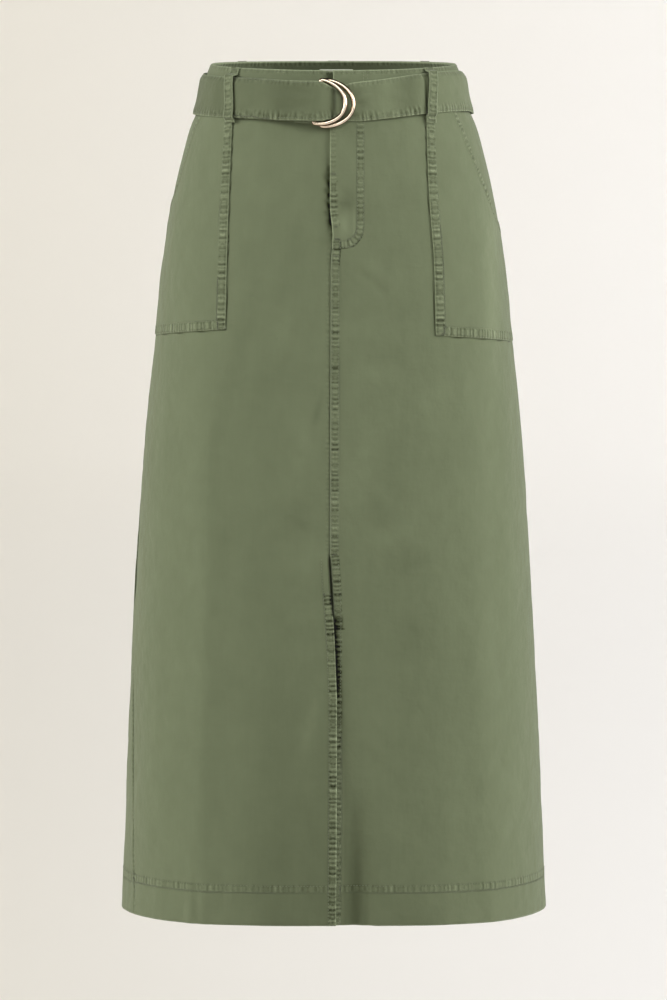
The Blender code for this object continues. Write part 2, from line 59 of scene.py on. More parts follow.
# Cloth thicknesses and the gaps between layers
PANEL_WALL = 0.0012
WAISTBAND_WALL = 0.0020
WAISTBAND_PROUD = 0.0003
BELT_WALL = 0.0016
PATCH_WALL = 0.0012
LAYER_GAP = 0.0003
POCKET_GAP = 0.0004
SEAM_HALF_GAP = 0.0002

SIDES = {-1: "left", 1: "right"}

# Levels, as drops below the rim, and how far the hem's turned-up cloth lifts the face
PANEL_TOP = 0.0410
WAISTBAND_DEPTH = 0.0407
SLIT_TOP = 0.4790
HEM_STITCH = 0.8052
HEM_DROP = 0.8445
HEM_RISE = 0.0003

# The rim: how far it lies below 0 at the sides, its tilt down to the front, how much lower it is in the
# middle of the front and of the back, and the drop from which sections are level
RIM_AT_SIDE = 0.0008
RIM_TILT = 0.0026
RIM_DIP = 0.0016
RIM_LEVEL_BY = 0.12

# The form: drop, half width, depth to the front, depth to the back, flatness of front and back
BODY_SECTIONS = (
    (0.000, 0.1216, 0.0945, 0.0940, 2.25),
    (0.010, 0.1255, 0.0970, 0.0965, 2.28),
    (0.046, 0.1348, 0.1040, 0.1055, 2.35),
    (0.060, 0.1410, 0.1068, 0.1110, 2.40),
    (0.091, 0.1499, 0.1125, 0.1185, 2.50),
    (0.141, 0.1614, 0.1180, 0.1265, 2.70),
    (0.191, 0.1692, 0.1225, 0.1310, 2.85),
    (0.266, 0.1772, 0.1275, 0.1335, 3.00),
    (0.366, 0.1872, 0.1320, 0.1360, 3.10),
    (0.466, 0.1947, 0.1350, 0.1380, 3.20),
    (0.567, 0.2010, 0.1385, 0.1400, 3.30),
    (0.700, 0.2067, 0.1425, 0.1430, 3.35),
    (0.8445, 0.2125, 0.1455, 0.1460, 3.40),
)

# The largest folds: angle at the hem, angle where it starts, drop where it starts, drop where it is
# full, half width, crest (below 0 it is a trough)
FOLDS = (
    (-0.66, -0.76, 0.250, 0.520, 0.120, 0.0030),
    (0.80, 0.88, 0.200, 0.450, 0.130, 0.0025),
    (0.110, 0.130, 0.640, 0.8445, 0.070, -0.0050),
    (2.05, 2.15, 0.380, 0.820, 0.120, 0.0045),
    (2.62, 2.80, 0.300, 0.800, 0.150, -0.0080),
    (3.08, 3.12, 0.400, 0.820, 0.140, 0.0050),
    (-2.73, -2.88, 0.350, 0.800, 0.130, -0.0070),
    (-2.08, -2.18, 0.400, 0.820, 0.120, 0.0045),
)

# Creases of the front, the back, the belt and the waistband: x and drop where it starts, x and drop
# where it ends, bow to the side, half width, crest. On the belt x is from its own zero, and heights
# above its middle stand for drops
FRONT_CREASES = (
    (-0.1190, 0.270, -0.1330, 0.870, 0.002, 0.011, 0.0011),
    (-0.1050, 0.300, -0.1170, 0.860, 0.002, 0.013, -0.0007),
    (0.1610, 0.270, 0.1740, 0.600, 0.002, 0.011, 0.0014),
    (0.1440, 0.120, 0.1500, 0.330, 0.000, 0.012, 0.0009),
    (0.1300, 0.330, 0.1460, 0.640, 0.003, 0.016, -0.0006),
    (-0.0600, 0.325, -0.0110, 0.410, 0.003, 0.009, 0.0009),
    (-0.0790, 0.331, -0.0080, 0.388, -0.004, 0.008, 0.0006),
    (-0.0500, 0.441, -0.0080, 0.474, 0.002, 0.007, -0.0009),
    (-0.0560, 0.430, -0.0120, 0.461, 0.002, 0.008, 0.0006),
    (0.0210, 0.400, 0.0870, 0.488, 0.003, 0.010, 0.0010),
    (0.0320, 0.386, 0.1000, 0.470, 0.003, 0.014, -0.0007),
    (0.0120, 0.196, 0.0590, 0.240, 0.006, 0.005, -0.0010),
    (0.0140, 0.188, 0.0640, 0.231, 0.007, 0.006, 0.0008),
    (-0.0230, 0.655, -0.0260, 0.760, 0.000, 0.007, 0.0008),
    (0.0170, 0.662, 0.0790, 0.724, 0.002, 0.007, -0.0007),
    (0.0200, 0.650, 0.0830, 0.712, 0.002, 0.007, 0.0005),
    (0.0210, 0.720, 0.0220, 0.900, 0.001, 0.007, -0.0014),
    (0.0275, 0.770, 0.0280, 0.900, 0.000, 0.004, 0.0009),
    (0.0340, 0.780, 0.0345, 0.900, 0.000, 0.004, -0.0013),
    (0.0430, 0.760, 0.0440, 0.900, 0.000, 0.006, 0.0007),
    (-0.1412, 0.770, -0.1400, 0.900, 0.000, 0.004, 0.0007),
    (-0.1340, 0.780, -0.1335, 0.900, 0.000, 0.004, -0.0007),
    (-0.1262, 0.770, -0.1270, 0.900, 0.000, 0.004, 0.0007),
    (-0.1482, 0.780, -0.1475, 0.900, 0.000, 0.004, -0.0006),
    (-0.0700, 0.780, -0.0690, 0.900, 0.000, 0.008, 0.0006),
    (0.0900, 0.770, 0.0910, 0.900, 0.000, 0.009, 0.0006),
    (0.1400, 0.780, 0.1410, 0.900, 0.000, 0.007, -0.0006),
    (0.0010, 0.120, 0.0230, 0.134, 0.001, 0.0035, -0.0008),
    (0.0000, 0.137, 0.0200, 0.141, 0.001, 0.0035, -0.0006),
    (0.0020, 0.146, 0.0160, 0.173, 0.001, 0.007, 0.0009),
    (-0.0300, 0.055, -0.0260, 0.150, 0.002, 0.010, -0.0008),
    (-0.0700, 0.110, -0.0200, 0.210, -0.004, 0.016, 0.0006),
    (0.0450, 0.090, 0.0800, 0.200, 0.003, 0.015, -0.0006),
    (-0.0950, 0.500, -0.0400, 0.600, 0.003, 0.018, -0.0007),
    (0.0600, 0.520, 0.1150, 0.640, 0.004, 0.018, -0.0007),
    (-0.1500, 0.290, -0.1560, 0.520, 0.002, 0.012, -0.0006),
)
BACK_CREASES = (
    (0.1050, 0.200, 0.1250, 0.860, 0.004, 0.014, 0.0017),
    (-0.1080, 0.220, -0.1300, 0.860, 0.004, 0.013, 0.0015),
    (0.0600, 0.070, 0.0300, 0.200, 0.004, 0.012, -0.0014),
    (-0.0600, 0.075, -0.0260, 0.210, -0.004, 0.012, -0.0014),
    (0.0700, 0.190, 0.0150, 0.300, 0.006, 0.010, 0.0015),
    (-0.0760, 0.200, -0.0180, 0.290, 0.006, 0.010, 0.0015),
    (0.0500, 0.330, -0.0200, 0.420, 0.004, 0.010, 0.0015),
    (-0.0700, 0.360, -0.0120, 0.430, 0.004, 0.011, -0.0014),
    (0.0200, 0.500, 0.0800, 0.580, 0.003, 0.012, 0.0014),
    (-0.0900, 0.520, -0.0350, 0.600, 0.003, 0.012, 0.0012),
    (0.0450, 0.640, 0.0500, 0.900, 0.002, 0.012, -0.0020),
    (-0.0300, 0.680, -0.0330, 0.900, 0.002, 0.010, -0.0017),
    (0.0180, 0.700, 0.0170, 0.900, 0.001, 0.009, 0.0014),
    (-0.0840, 0.700, -0.0880, 0.900, 0.002, 0.009, 0.0015),
    (0.0950, 0.740, 0.0970, 0.900, 0.001, 0.007, -0.0014),
)
BELT_CREASES = (
    (0.1040, 0.0400, 0.1052, -0.0400, 0.001, 0.0022, -0.0013),
    (-0.0820, 0.0400, -0.0860, -0.0400, 0.001, 0.0020, -0.0008),
    (-0.0020, 0.0060, -0.0460, 0.0125, 0.001, 0.0034, -0.0009),
    (-0.0020, 0.0010, -0.0520, 0.0030, 0.001, 0.0030, 0.0007),
    (-0.0020, -0.0060, -0.0420, -0.0100, 0.001, 0.0034, -0.0008),
    (-0.0260, -0.0060, -0.0700, 0.0060, 0.002, 0.0050, 0.0006),
    (-0.0400, -0.0130, -0.0750, -0.0060, 0.001, 0.0040, -0.0006),
    (0.0170, 0.0070, 0.0460, 0.0130, 0.001, 0.0026, -0.0010),
    (0.0170, 0.0030, 0.0560, 0.0060, 0.001, 0.0024, 0.0008),
    (0.0170, -0.0010, 0.0480, -0.0020, 0.001, 0.0024, -0.0009),
    (0.0170, -0.0060, 0.0520, -0.0110, 0.001, 0.0026, 0.0009),
    (0.0170, -0.0090, 0.0400, -0.0160, 0.001, 0.0026, -0.0009),
    (0.0600, 0.0100, 0.0980, -0.0060, 0.002, 0.0050, 0.0006),
)
WAISTBAND_CREASES = (
    (-0.0010, 0.0170, 0.0150, 0.0040, 0.0005, 0.0018, 0.0006),
    (0.0020, 0.0190, 0.0190, 0.0090, 0.0005, 0.0018, -0.0006),
    (-0.0005, 0.0090, 0.0060, 0.0010, 0.0002, 0.0012, 0.0005),
    (0.0160, 0.0120, 0.0230, -0.0020, 0.0005, 0.0020, -0.0005),
)

# Soft spots of painted shade and painted light where shallow folds lie on the front: x, drop, half
# width, half height, how much lighter (below 0 it is deeper)
FRONT_PAINTED_SHADING = (
    (0.0005, 0.297, 0.004, 0.006, -0.60),
    (-0.0367, 0.436, 0.022, 0.018, -0.14),
    (-0.0250, 0.485, 0.016, 0.014, 0.20),
    (-0.0310, 0.380, 0.011, 0.039, 0.16),
    (-0.0480, 0.254, 0.011, 0.023, 0.17),
    (-0.0152, 0.336, 0.004, 0.018, -0.32),
    (-0.0406, 0.192, 0.009, 0.030, -0.09),
    (-0.0600, 0.309, 0.025, 0.011, -0.09),
    (-0.1070, 0.336, 0.008, 0.149, -0.09),
    (0.0260, 0.395, 0.014, 0.046, 0.23),
    (0.0533, 0.461, 0.018, 0.012, 0.25),
    (0.0690, 0.489, 0.031, 0.021, -0.17),
    (0.0573, 0.434, 0.017, 0.030, -0.14),
    (0.0533, 0.377, 0.023, 0.039, -0.09),
    (0.0377, 0.254, 0.024, 0.016, 0.23),
    (0.0416, 0.301, 0.024, 0.012, 0.17),
    (0.0651, 0.243, 0.022, 0.015, -0.13),
    (0.0573, 0.282, 0.018, 0.014, -0.11),
    (0.0260, 0.243, 0.013, 0.008, -0.11),
    (0.1003, 0.321, 0.014, 0.018, 0.17),
    (0.0768, 0.559, 0.016, 0.024, -0.11),
    (0.0808, 0.610, 0.009, 0.045, -0.11),
    (-0.0250, 0.652, 0.007, 0.039, 0.23),
)

# The side seams: drop, angle of the left seam, angle of the right seam
SIDE_SEAMS = (
    (0.000, -1.571, 1.571),
    (0.470, -1.571, 1.571),
    (0.545, -1.505, 1.580),
    (0.620, -1.385, 1.595),
    (0.690, -1.326, 1.610),
    (0.8045, -1.225, 1.630),
    (0.8445, -1.195, 1.640),
)

# The front panels' centre edges: drop, left edge, its sink, right edge, its sink
CENTRE_EDGES = (
    (0.0410, 0.0080, 0.0015, -0.0034, -0.0005),
    (0.1300, 0.0080, 0.0015, -0.0036, -0.0005),
    (0.1440, 0.0080, 0.0015, -0.0032, -0.0005),
    (0.1560, 0.0080, 0.0015, -0.0016, -0.0005),
    (0.1660, 0.0080, 0.0015, -0.0009, -0.0004),
    (0.1760, -0.0017, 0.0015, -0.0013, -0.0003),
    (0.1880, -0.0029, 0.0006, -0.0025, -0.0001),
    (0.2000, -0.0033, 0.0000, -0.0029, 0.0000),
    (0.4700, -0.0041, 0.0000, -0.0037, 0.0000),
    (0.4780, -0.0043, 0.0000, -0.0037, 0.0000),
    (0.4875, -0.0042, 0.0000, -0.0027, 0.0003),
    (0.5020, -0.0033, 0.0000, -0.0019, 0.0006),
    (0.5215, -0.0021, 0.0000, -0.0009, 0.0018),
    (0.5410, -0.0003, 0.0000, -0.0002, 0.0024),
    (0.5600, 0.0010, 0.0000, -0.0006, 0.0026),
    (0.6200, 0.0034, 0.0000, -0.0010, 0.0030),
    (0.7080, 0.0034, 0.0000, -0.0010, 0.0035),
    (0.8445, 0.0025, 0.0000, -0.0020, 0.0045),
)
# Angles from the centre edge: over the first the left panel's sink stays full, and over the others
# each panel's sink fades
LEFT_SINK_KEEPS = 0.075
LEFT_SINK_WIDTH = 0.060
RIGHT_SINK_WIDTH = 0.110

# The fly's curved stitching: drop, x
FLY_LINE = (
    (0.0420, 0.0293), (0.0700, 0.0294), (0.1000, 0.0295), (0.1300, 0.0295), (0.1480, 0.0295),
    (0.1580, 0.0294), (0.1640, 0.0284), (0.1683, 0.0263), (0.1726, 0.0230), (0.1759, 0.0192),
    (0.1775, 0.0140), (0.1783, 0.0074), (0.1784, 0.0050),
)
# Drops: where the fly ends, its close stitches' foot, between which drops the lapped centre seam
# begins, and the foot of the slit's upper facing
FLY_END = 0.1728
FLY_TACK_FOOT = 0.1797
LAP_START = (0.176, 0.190)
FACING_FOOT = 0.5517
# Short level lines inside the right front's edge: drop, where they start and end from the edge
LEVEL_LINES = (
    (FLY_END, 0.0012, 0.0072),
    (FLY_TACK_FOOT, 0.0012, 0.0080),
    (SLIT_TOP - 0.0008, 0.0012, 0.0066),
    (FACING_FOOT, 0.0030, 0.0110),
)

# The patch pockets: drop at the inner edge, inner edge's distance from the centre,
# outer edge's angle, drop at the outer edge
POCKET_LEFT_ROWS = (
    (0.0440, 0.0985, 1.280, 0.0440),
    (0.0600, 0.0989, 1.301, 0.0600),
    (0.0750, 0.0996, 1.321, 0.0750),
    (0.0900, 0.1003, 1.341, 0.0900),
    (0.1050, 0.1010, 1.368, 0.1050),
    (0.1170, 0.1016, 1.402, 0.1175),
    (0.1250, 0.1019, 1.445, 0.1265),
    (0.1310, 0.1021, 1.498, 0.1335),
    (0.1370, 0.1023, 1.569, 0.1400),
    (0.1600, 0.1030, 1.569, 0.1650),
    (0.1850, 0.1037, 1.569, 0.1910),
    (0.2100, 0.1044, 1.569, 0.2175),
    (0.2350, 0.1050, 1.569, 0.2450),
    (0.2586, 0.1056, 1.569, 0.2710),
)
POCKET_RIGHT_ROWS = (
    (0.0440, 0.0902, 1.090, 0.0440),
    (0.0600, 0.0908, 1.102, 0.0600),
    (0.0750, 0.0912, 1.128, 0.0750),
    (0.0900, 0.0916, 1.160, 0.0910),
    (0.1050, 0.0922, 1.205, 0.1070),
    (0.1200, 0.0928, 1.260, 0.1225),
    (0.1340, 0.0935, 1.315, 0.1375),
    (0.1420, 0.0941, 1.360, 0.1470),
    (0.1470, 0.0945, 1.425, 0.1530),
    (0.1520, 0.0949, 1.495, 0.1575),
    (0.1570, 0.0953, 1.569, 0.1625),
    (0.1820, 0.0974, 1.569, 0.1890),
    (0.2090, 0.0986, 1.569, 0.2180),
    (0.2370, 0.0994, 1.569, 0.2480),
    (0.2644, 0.1001, 1.569, 0.2775),
)
POCKET_ROWS = {-1: POCKET_LEFT_ROWS, 1: POCKET_RIGHT_ROWS}
# The row at which the hand opening ends on the side seam
POCKET_OPENING_ROWS = {-1: 8, 1: 10}
# Width of the sewn band along a pocket's edge
POCKET_BAND = 0.0078

# The waistband: x of the right end, which lies on top, and of the left end under it, how far that
# one steps in and between which x it does, and the gap between the waistband and what lies inside it
OVERLAP_EDGE = -0.0004
UNDERLAP_EDGE = 0.0330
UNDERLAP_SINK = 0.0041
UNDERLAP_STEP = (-0.0140, -0.0024)
INNER_CLEAR = 0.0006

# The zip behind the fly and the plain label inside the back of the waistband
ZIP_SIDES = (-0.0110, 0.0150)
ZIP_DROPS = (0.0460, 0.1740)
ZIP_SINK = 0.0034
ZIP_WALL = 0.0010
ZIP_TEETH = 58
LABEL_SIDES = (0.0202, -0.0146)
LABEL_DROPS = (0.0078, 0.0380)
LABEL_WALL = 0.0005

# The belt: its width, the drop of its middle where x is measured, and the x from which the distances
# of its tables are measured
BELT_WIDTH = 0.0405
BELT_MIDDLE_DROP = 0.0330
BELT_ZERO_X = -0.0138
# The strap's two ends: distance from the belt's zero, stand of the strap's middle off the form
BELT_FREE_END = (
    (-0.0875, 0.0036), (-0.0760, 0.0037), (-0.0560, 0.0044), (-0.0400, 0.0066),
    (-0.0250, 0.0104), (-0.0120, 0.0140), (-0.0020, 0.0155), (0.0030, 0.0147),
    (0.0070, 0.0126), (0.0109, 0.0101), (0.0136, 0.0070), (0.0149, 0.0046),
    (0.0166, 0.0027), (0.0192, 0.0017), (0.0230, 0.0016), (0.0420, 0.0016),
)
BELT_RING_END = (
    (-0.1000, 0.0017), (-0.0800, 0.0017), (-0.0600, 0.0018), (-0.0440, 0.0030),
    (-0.0280, 0.0065), (-0.0150, 0.0103), (-0.0060, 0.0127), (0.0000, 0.0134),
    (0.0032, 0.0122), (0.0070, 0.0095),
)
# Where it goes round the skirt: its stand and number of rows, how much further it stands off at the
# sides and the sine of the angle where that is full, and how far its top edge leans out
BELT_ROUND_STAND = 0.0022
BELT_ROUND_ROWS = 16
BELT_SIDE_STAND = 0.0019
BELT_SIDE_SINE = 0.62
BELT_LEAN = 0.0006
# Its turn round the outer ring's bar: the angles of the turn, its rows, its middle and its radius
BELT_TURN = (math.radians(62), math.radians(-90))
BELT_TURN_ROWS = 6
BELT_TURN_X = 0.0080
BELT_TURN_RADIUS = 0.0034
BELT_RETURN = (
    (0.0030, 0.0015),
    (-0.0080, 0.0015),
    (-0.0200, 0.0015),
)
# Where the strap gathers inside the rings: distance from the belt's zero, share of its width above
# its middle line and below it
BELT_GATHER = (
    (-0.0200, 1.000, 1.000),
    (0.0000, 0.960, 1.000),
    (0.0040, 0.900, 0.990),
    (0.0070, 0.830, 0.955),
    (0.0108, 0.750, 0.900),
    (0.0134, 0.700, 0.880),
    (0.0150, 0.700, 0.870),
    (0.0175, 0.745, 0.880),
    (0.0200, 0.790, 0.900),
    (0.0240, 0.870, 0.930),
    (0.0300, 0.950, 0.970),
    (0.0420, 1.000, 1.000),
)
# How the strap slants to follow the bars: distance from the belt's zero, shift for each unit of height
BELT_SLANT = (
    (-0.0800, 0.000), (-0.0300, 0.100), (-0.0020, 0.160), (0.0045, 0.079),
    (0.0125, 0.079), (0.0300, 0.000),
)
# The belt's level: angle, drop of its middle
BELT_LEVELS = (
    (-3.1416, 0.0310), (-1.5708, 0.0312), (-0.8500, 0.0315), (-0.5300, 0.0322),
    (-0.3300, 0.0340), (-0.1300, 0.0353), (0.1700, 0.0334), (0.8000, 0.0268),
    (1.1500, 0.0263), (1.3500, 0.0274), (1.5708, 0.0304), (3.1416, 0.0310),
)

# The D-rings' wire and the radius of their corners
RING_WIRE = 0.0042
RING_CORNER = 0.0016
# Each ring: name, where the bar is along the belt, drop of its middle, tilt in degrees, stand, reach
# of the arc from the bar, half height of the arc
RINGS = (
    ("ring_inner", -0.0015, 0.0347, 8.4, 0.0098, 0.0275, 0.0218),
    ("ring_outer", 0.0040, 0.0354, 5.0, 0.0052, 0.0297, 0.0230),
)

# The belt loops' cloth, the drops and the top stand of their ends, how far they clear the strap's
# edges and over what length they bend
LOOP_WIDTH = 0.0118
LOOP_WALL = 0.0012
LOOP_TOP = 0.0002
LOOP_END = 0.0568
LOOP_TOP_STAND = 0.0018
LOOP_CLEAR = 0.0012
LOOP_BEND = 0.0024
# Each loop: name, the waistband it is sewn to, angle at the top, angle at the bottom, stand of the
# strap's outer face there, stand of the loop's own outer face at its lower end
BELT_LOOPS = (
    ("loop_front_left", "waistband_left", -0.910, -0.801, 0.0045, 0.0030),
    ("loop_front_right", "waistband_right", 0.870, 0.748, 0.0030, 0.0030),
    ("loop_back_left", "waistband_back", -2.300, -2.300, 0.0030, 0.0015),
    ("loop_back_centre", "waistband_back", 3.1416, 3.1416, 0.0030, 0.0015),
    ("loop_back_right", "waistband_back", 2.300, 2.300, 0.0030, 0.0015),
)


# ---------------------------------------------------------------- the form


def smooth_table(rows, column, at):
    """Reads a column of a table at any value of its first column, on a smooth curve whose slope at
    each row comes from its neighbours."""
    rows = np.array(rows, float)
    keys, values = rows[:, 0], rows[:, column]
    slopes = np.gradient(values, keys)
    at = np.clip(at, keys[0], keys[-1])
    row = np.clip(np.searchsorted(keys, at, side="right") - 1, 0, len(keys) - 2)
    span = keys[row + 1] - keys[row]
    t = (at - keys[row]) / span
    rise = values[row + 1] - values[row]
    start = slopes[row] * span - rise
    end = rise - slopes[row + 1] * span
    return values[row] + t * rise + t * (1.0 - t) * ((1.0 - t) * start + t * end)


def straight_table(rows, column, at):
    """Reads a column of a table at any value of its first column, in straight lines."""
    rows = np.array(rows, float)
    return np.interp(at, rows[:, 0], rows[:, column])


def ease(value, start, end):
    """0 before start and 1 after end, with a soft turn at both."""
    t = np.clip((value - start) / (end - start), 0.0, 1.0)
    return t * t * (3.0 - 2.0 * t)


def unit(vectors):
    """Vectors brought to a length of 1."""
    return vectors / np.linalg.norm(vectors, axis=-1, keepdims=True)


def path_lengths(points):
    """The distance along a line at each of its points."""
    return np.concatenate([[0.0], np.cumsum(np.linalg.norm(np.diff(points, axis=0), axis=1))])


def band(distance, start, end, soft):
    """1 between two distances and 0 outside them, with soft ends."""
    return ease(distance, start - soft, start + soft) * (1.0 - ease(distance, end - soft, end + soft))


def form_point(angle, drop):
    """A point on the form. In a section, x is the half width times the sine of the angle, and y is
    the depth times the root of 1 minus a power of that sine: a higher power is flatter. The rim
    dips at the front, and the sections below it are level again further down."""
    angle, drop = np.broadcast_arrays(np.asarray(angle, float), np.asarray(drop, float))
    sine, cosine = np.sin(angle), np.cos(angle)
    to_front = smooth_table(BODY_SECTIONS, 2, drop)
    to_back = smooth_table(BODY_SECTIONS, 3, drop)
    flatness = smooth_table(BODY_SECTIONS, 4, drop)
    depth = 0.5 * (to_front + to_back) + 0.5 * (to_front - to_back) * cosine
    x = smooth_table(BODY_SECTIONS, 1, drop) * sine
    y = -np.sign(cosine) * depth * np.sqrt(np.clip(1.0 - np.abs(sine) ** flatness, 0.0, 1.0))
    rim = RIM_AT_SIDE + RIM_TILT * cosine + RIM_DIP * cosine**2
    z = -drop - rim * np.clip(1.0 - drop / RIM_LEVEL_BY, 0.0, 1.0) ** 2
    return np.stack([x, y, z], axis=-1)


def form_normal(angle, drop):
    """The outward direction of the form, from two short steps across the point."""
    step = 1e-4
    drop = np.maximum(drop, 0.0)
    across = form_point(angle + step, drop) - form_point(angle - step, drop)
    lower = form_point(angle, np.minimum(drop + step, HEM_DROP))
    upper = form_point(angle, np.maximum(drop - step, 0.0))
    return unit(np.cross(lower - upper, across))


def form_x(angle, drop):
    """How far a place on the form lies to the right of the centre."""
    return smooth_table(BODY_SECTIONS, 1, drop) * np.sin(angle)


def layer(angle, drop, stand):
    """Points that stand off the form by a distance along its outward direction."""
    return form_point(angle, drop) + form_normal(angle, drop) * np.asarray(stand)[..., None]


def wrapped(angle):
    """The same angle between minus half a turn and half a turn."""
    return np.angle(np.exp(1j * angle))


def fold_height(angle, drop):
    """How far the folds move the cloth out: a bell across each fold, which fades in downwards."""
    height = np.zeros(np.broadcast(angle, drop).shape)
    for at_hem, at_start, start, full, half_width, crest in FOLDS:
        share = np.clip((drop - start) / (full - start), 0.0, 1.0)
        away = wrapped(angle - at_start - (at_hem - at_start) * share)
        height += crest * ease(drop, start, full) * np.exp(-((away / half_width) ** 2))
    return height


def seam_angle(angle, drop, side):
    """The angle of a seam's edge, half the seam's gap to one side of the seam's own angle."""
    return angle + side * SEAM_HALF_GAP / hop_length(angle, drop)


def hop_length(angle, drop):
    """Metres across the form for one radian of angle."""
    step = 1e-3
    hop = form_point(angle + step, drop) - form_point(angle - step, drop)
    return np.linalg.norm(hop, axis=-1) / (2.0 * step)


def front_angle(x, drop):
    """The angle of a place on the front at a distance x from the centre."""
    return np.arcsin(np.clip(x / smooth_table(BODY_SECTIONS, 1, drop), -1.0, 1.0))


GIRTH_ANGLES = np.linspace(0.0, 2.0 * math.pi, 721)
GIRTH_DROPS = np.linspace(0.0, HEM_DROP, 44)
GIRTH_HOPS = np.linalg.norm(
    np.diff(form_point(GIRTH_ANGLES[None, :], GIRTH_DROPS[:, None]), axis=1), axis=-1)
GIRTHS = np.pad(np.cumsum(GIRTH_HOPS, axis=1), ((0, 0), (1, 0)))


def girth(angle, drop):
    """Distance round the form from its front centre, read from a table of section lengths."""
    angle, drop = np.broadcast_arrays(np.asarray(angle, float), np.asarray(drop, float))
    column = np.clip(np.abs(angle) / GIRTH_ANGLES[1], 0.0, len(GIRTH_ANGLES) - 1.001)
    row = np.clip(drop / GIRTH_DROPS[1], 0.0, len(GIRTH_DROPS) - 1.001)
    i, j = row.astype(int), column.astype(int)
    u, v = row - i, column - j
    upper = GIRTHS[i, j] * (1.0 - v) + GIRTHS[i, j + 1] * v
    lower = GIRTHS[i + 1, j] * (1.0 - v) + GIRTHS[i + 1, j + 1] * v
    return np.sign(angle) * (upper * (1.0 - u) + lower * u)


def flat_pattern(angle, drop):
    """UV in metres on the flat cloth: the distance round the form, and the drop downwards."""
    return np.stack([girth(angle, drop), -drop], axis=-1)


# ---------------------------------------------------------------- unevenness


def soft_noise(x, y, cell, seed):
    """Soft unevenness from -1 to 1: random values at the corners of square cells, eased between
    them."""
    size = 64
    lattice = np.random.default_rng(seed).uniform(-1.0, 1.0, (size, size))
    x, y = np.broadcast_arrays(np.asarray(x) / cell, np.asarray(y) / cell)
    i, j = np.floor(x).astype(int), np.floor(y).astype(int)
    u, v = ease(x - i, 0.0, 1.0), ease(y - j, 0.0, 1.0)
    i, after, j, below = i % size, (i + 1) % size, j % size, (j + 1) % size
    upper = lattice[i, j] * (1.0 - u) + lattice[after, j] * u
    lower = lattice[i, below] * (1.0 - u) + lattice[after, below] * u
    return upper * (1.0 - v) + lower * v


def crease_height(x, y, rows):
    """Soft ridges and troughs: a bell across a bowed line, which fades out at the line's ends."""
    height = np.zeros(np.broadcast(x, y).shape)
    for x0, y0, x1, y1, bow, half_width, crest in rows:
        length = math.hypot(x1 - x0, y1 - y0)
        ux, uy = (x1 - x0) / length, (y1 - y0) / length
        t = ((x - x0) * ux + (y - y0) * uy) / length
        off = (x - x0) * uy - (y - y0) * ux - bow * 4.0 * t * (1.0 - t)
        fade = ease(t, 0.0, 0.35) * (1.0 - ease(t, 0.65, 1.0))
        height += crest * fade * np.exp(-((off / half_width) ** 2))
    return height


def relief(angle, drop):
    """What every layer of the skirt shares: its folds, its creases and a soft unevenness that is
    calm at the waist and grows down the skirt."""
    x = form_x(angle, drop)
    front = np.cos(angle) > 0.0
    height = fold_height(angle, drop)
    height = height + np.where(front, crease_height(x, drop, FRONT_CREASES), 0.0)
    height = height + np.where(front, 0.0, crease_height(x, drop, BACK_CREASES))
    round_it = girth(angle, drop)
    loose = ease(drop, 0.04, 0.22)
    height += loose * 0.00075 * soft_noise(round_it, 0.55 * drop, 0.046, 11)
    height += loose * 0.00040 * soft_noise(round_it + 0.3 * drop, 0.8 * drop, 0.021, 12)
    height += (0.3 + 0.7 * loose) * 0.00016 * soft_noise(round_it, drop, 0.0095, 13)
    hem = ease(drop, 0.79, 0.82)
    height += hem * 0.00045 * soft_noise(round_it, 0.25 * drop, 0.0085, 14)
    return height


# ---------------------------------------------------------------- outer faces of the layers


def centre_edge(side, drop):
    """x of a front panel's centre edge."""
    return straight_table(CENTRE_EDGES, 1 if side < 0 else 3, drop)


def hem_rise(drop):
    """The hem's turned-up cloth, which lifts the face below its stitches."""
    return HEM_RISE * ease(drop, HEM_STITCH - 0.0008, HEM_STITCH + 0.0008)


def front_stand(side, angle, drop):
    """How far a front panel's outer face stands off the form. Near the centre the left panel sinks
    under the fly and the right one under the left one at the slit. A lapped seam, the fly's facing
    and the slit's hems are each a low raised band."""
    edge = centre_edge(side, drop)
    keeps, width = (LEFT_SINK_KEEPS, LEFT_SINK_WIDTH) if side < 0 else (0.0, RIGHT_SINK_WIDTH)
    beyond = np.maximum(np.abs(angle - front_angle(edge, drop)) - keeps, 0.0)
    sink = straight_table(CENTRE_EDGES, 2 if side < 0 else 4, drop)
    sink = sink * np.exp(-((beyond / width) ** 2))
    x = form_x(angle, drop)
    away = np.abs(x - edge)
    open_slit = ease(drop, SLIT_TOP - 0.004, SLIT_TOP + 0.004)
    closed = ease(drop, *LAP_START) * (1.0 - open_slit)
    height = relief(angle, drop) - sink
    if side > 0:
        height += closed * 0.0007 * band(away, -0.001, 0.0088, 0.0008)
        fly_edge = straight_table(FLY_LINE, 1, drop)
        fly = 1.0 - ease(x, fly_edge - 0.001, fly_edge + 0.001)
        height += 0.0006 * fly * (1.0 - ease(drop, 0.1775, 0.1795))
        height += open_slit * 0.0004 * band(away, -0.001, 0.0075, 0.0008)
    else:
        height += open_slit * 0.0006 * band(away, -0.001, 0.0092, 0.0009)
        height -= closed * 0.0004 * (1.0 - ease(away, 0.0, 0.0040))
    return height - 0.0003 * (1.0 - ease(away, 0.0, 0.0013)) + hem_rise(drop)


def back_stand(angle, drop):
    """How far the back's outer face stands off the form, with its hem as a low raised band."""
    return relief(angle, drop) + hem_rise(drop)


def pocket_stand(angle, drop):
    """How far a patch pocket's outer face stands off the form: it lies on its panel, and lower where
    it is caught in the side seam."""
    caught = 0.0011 * ease(np.abs(np.sin(angle)), 0.94, 1.0)
    return relief(angle, drop) + POCKET_GAP + PATCH_WALL - caught


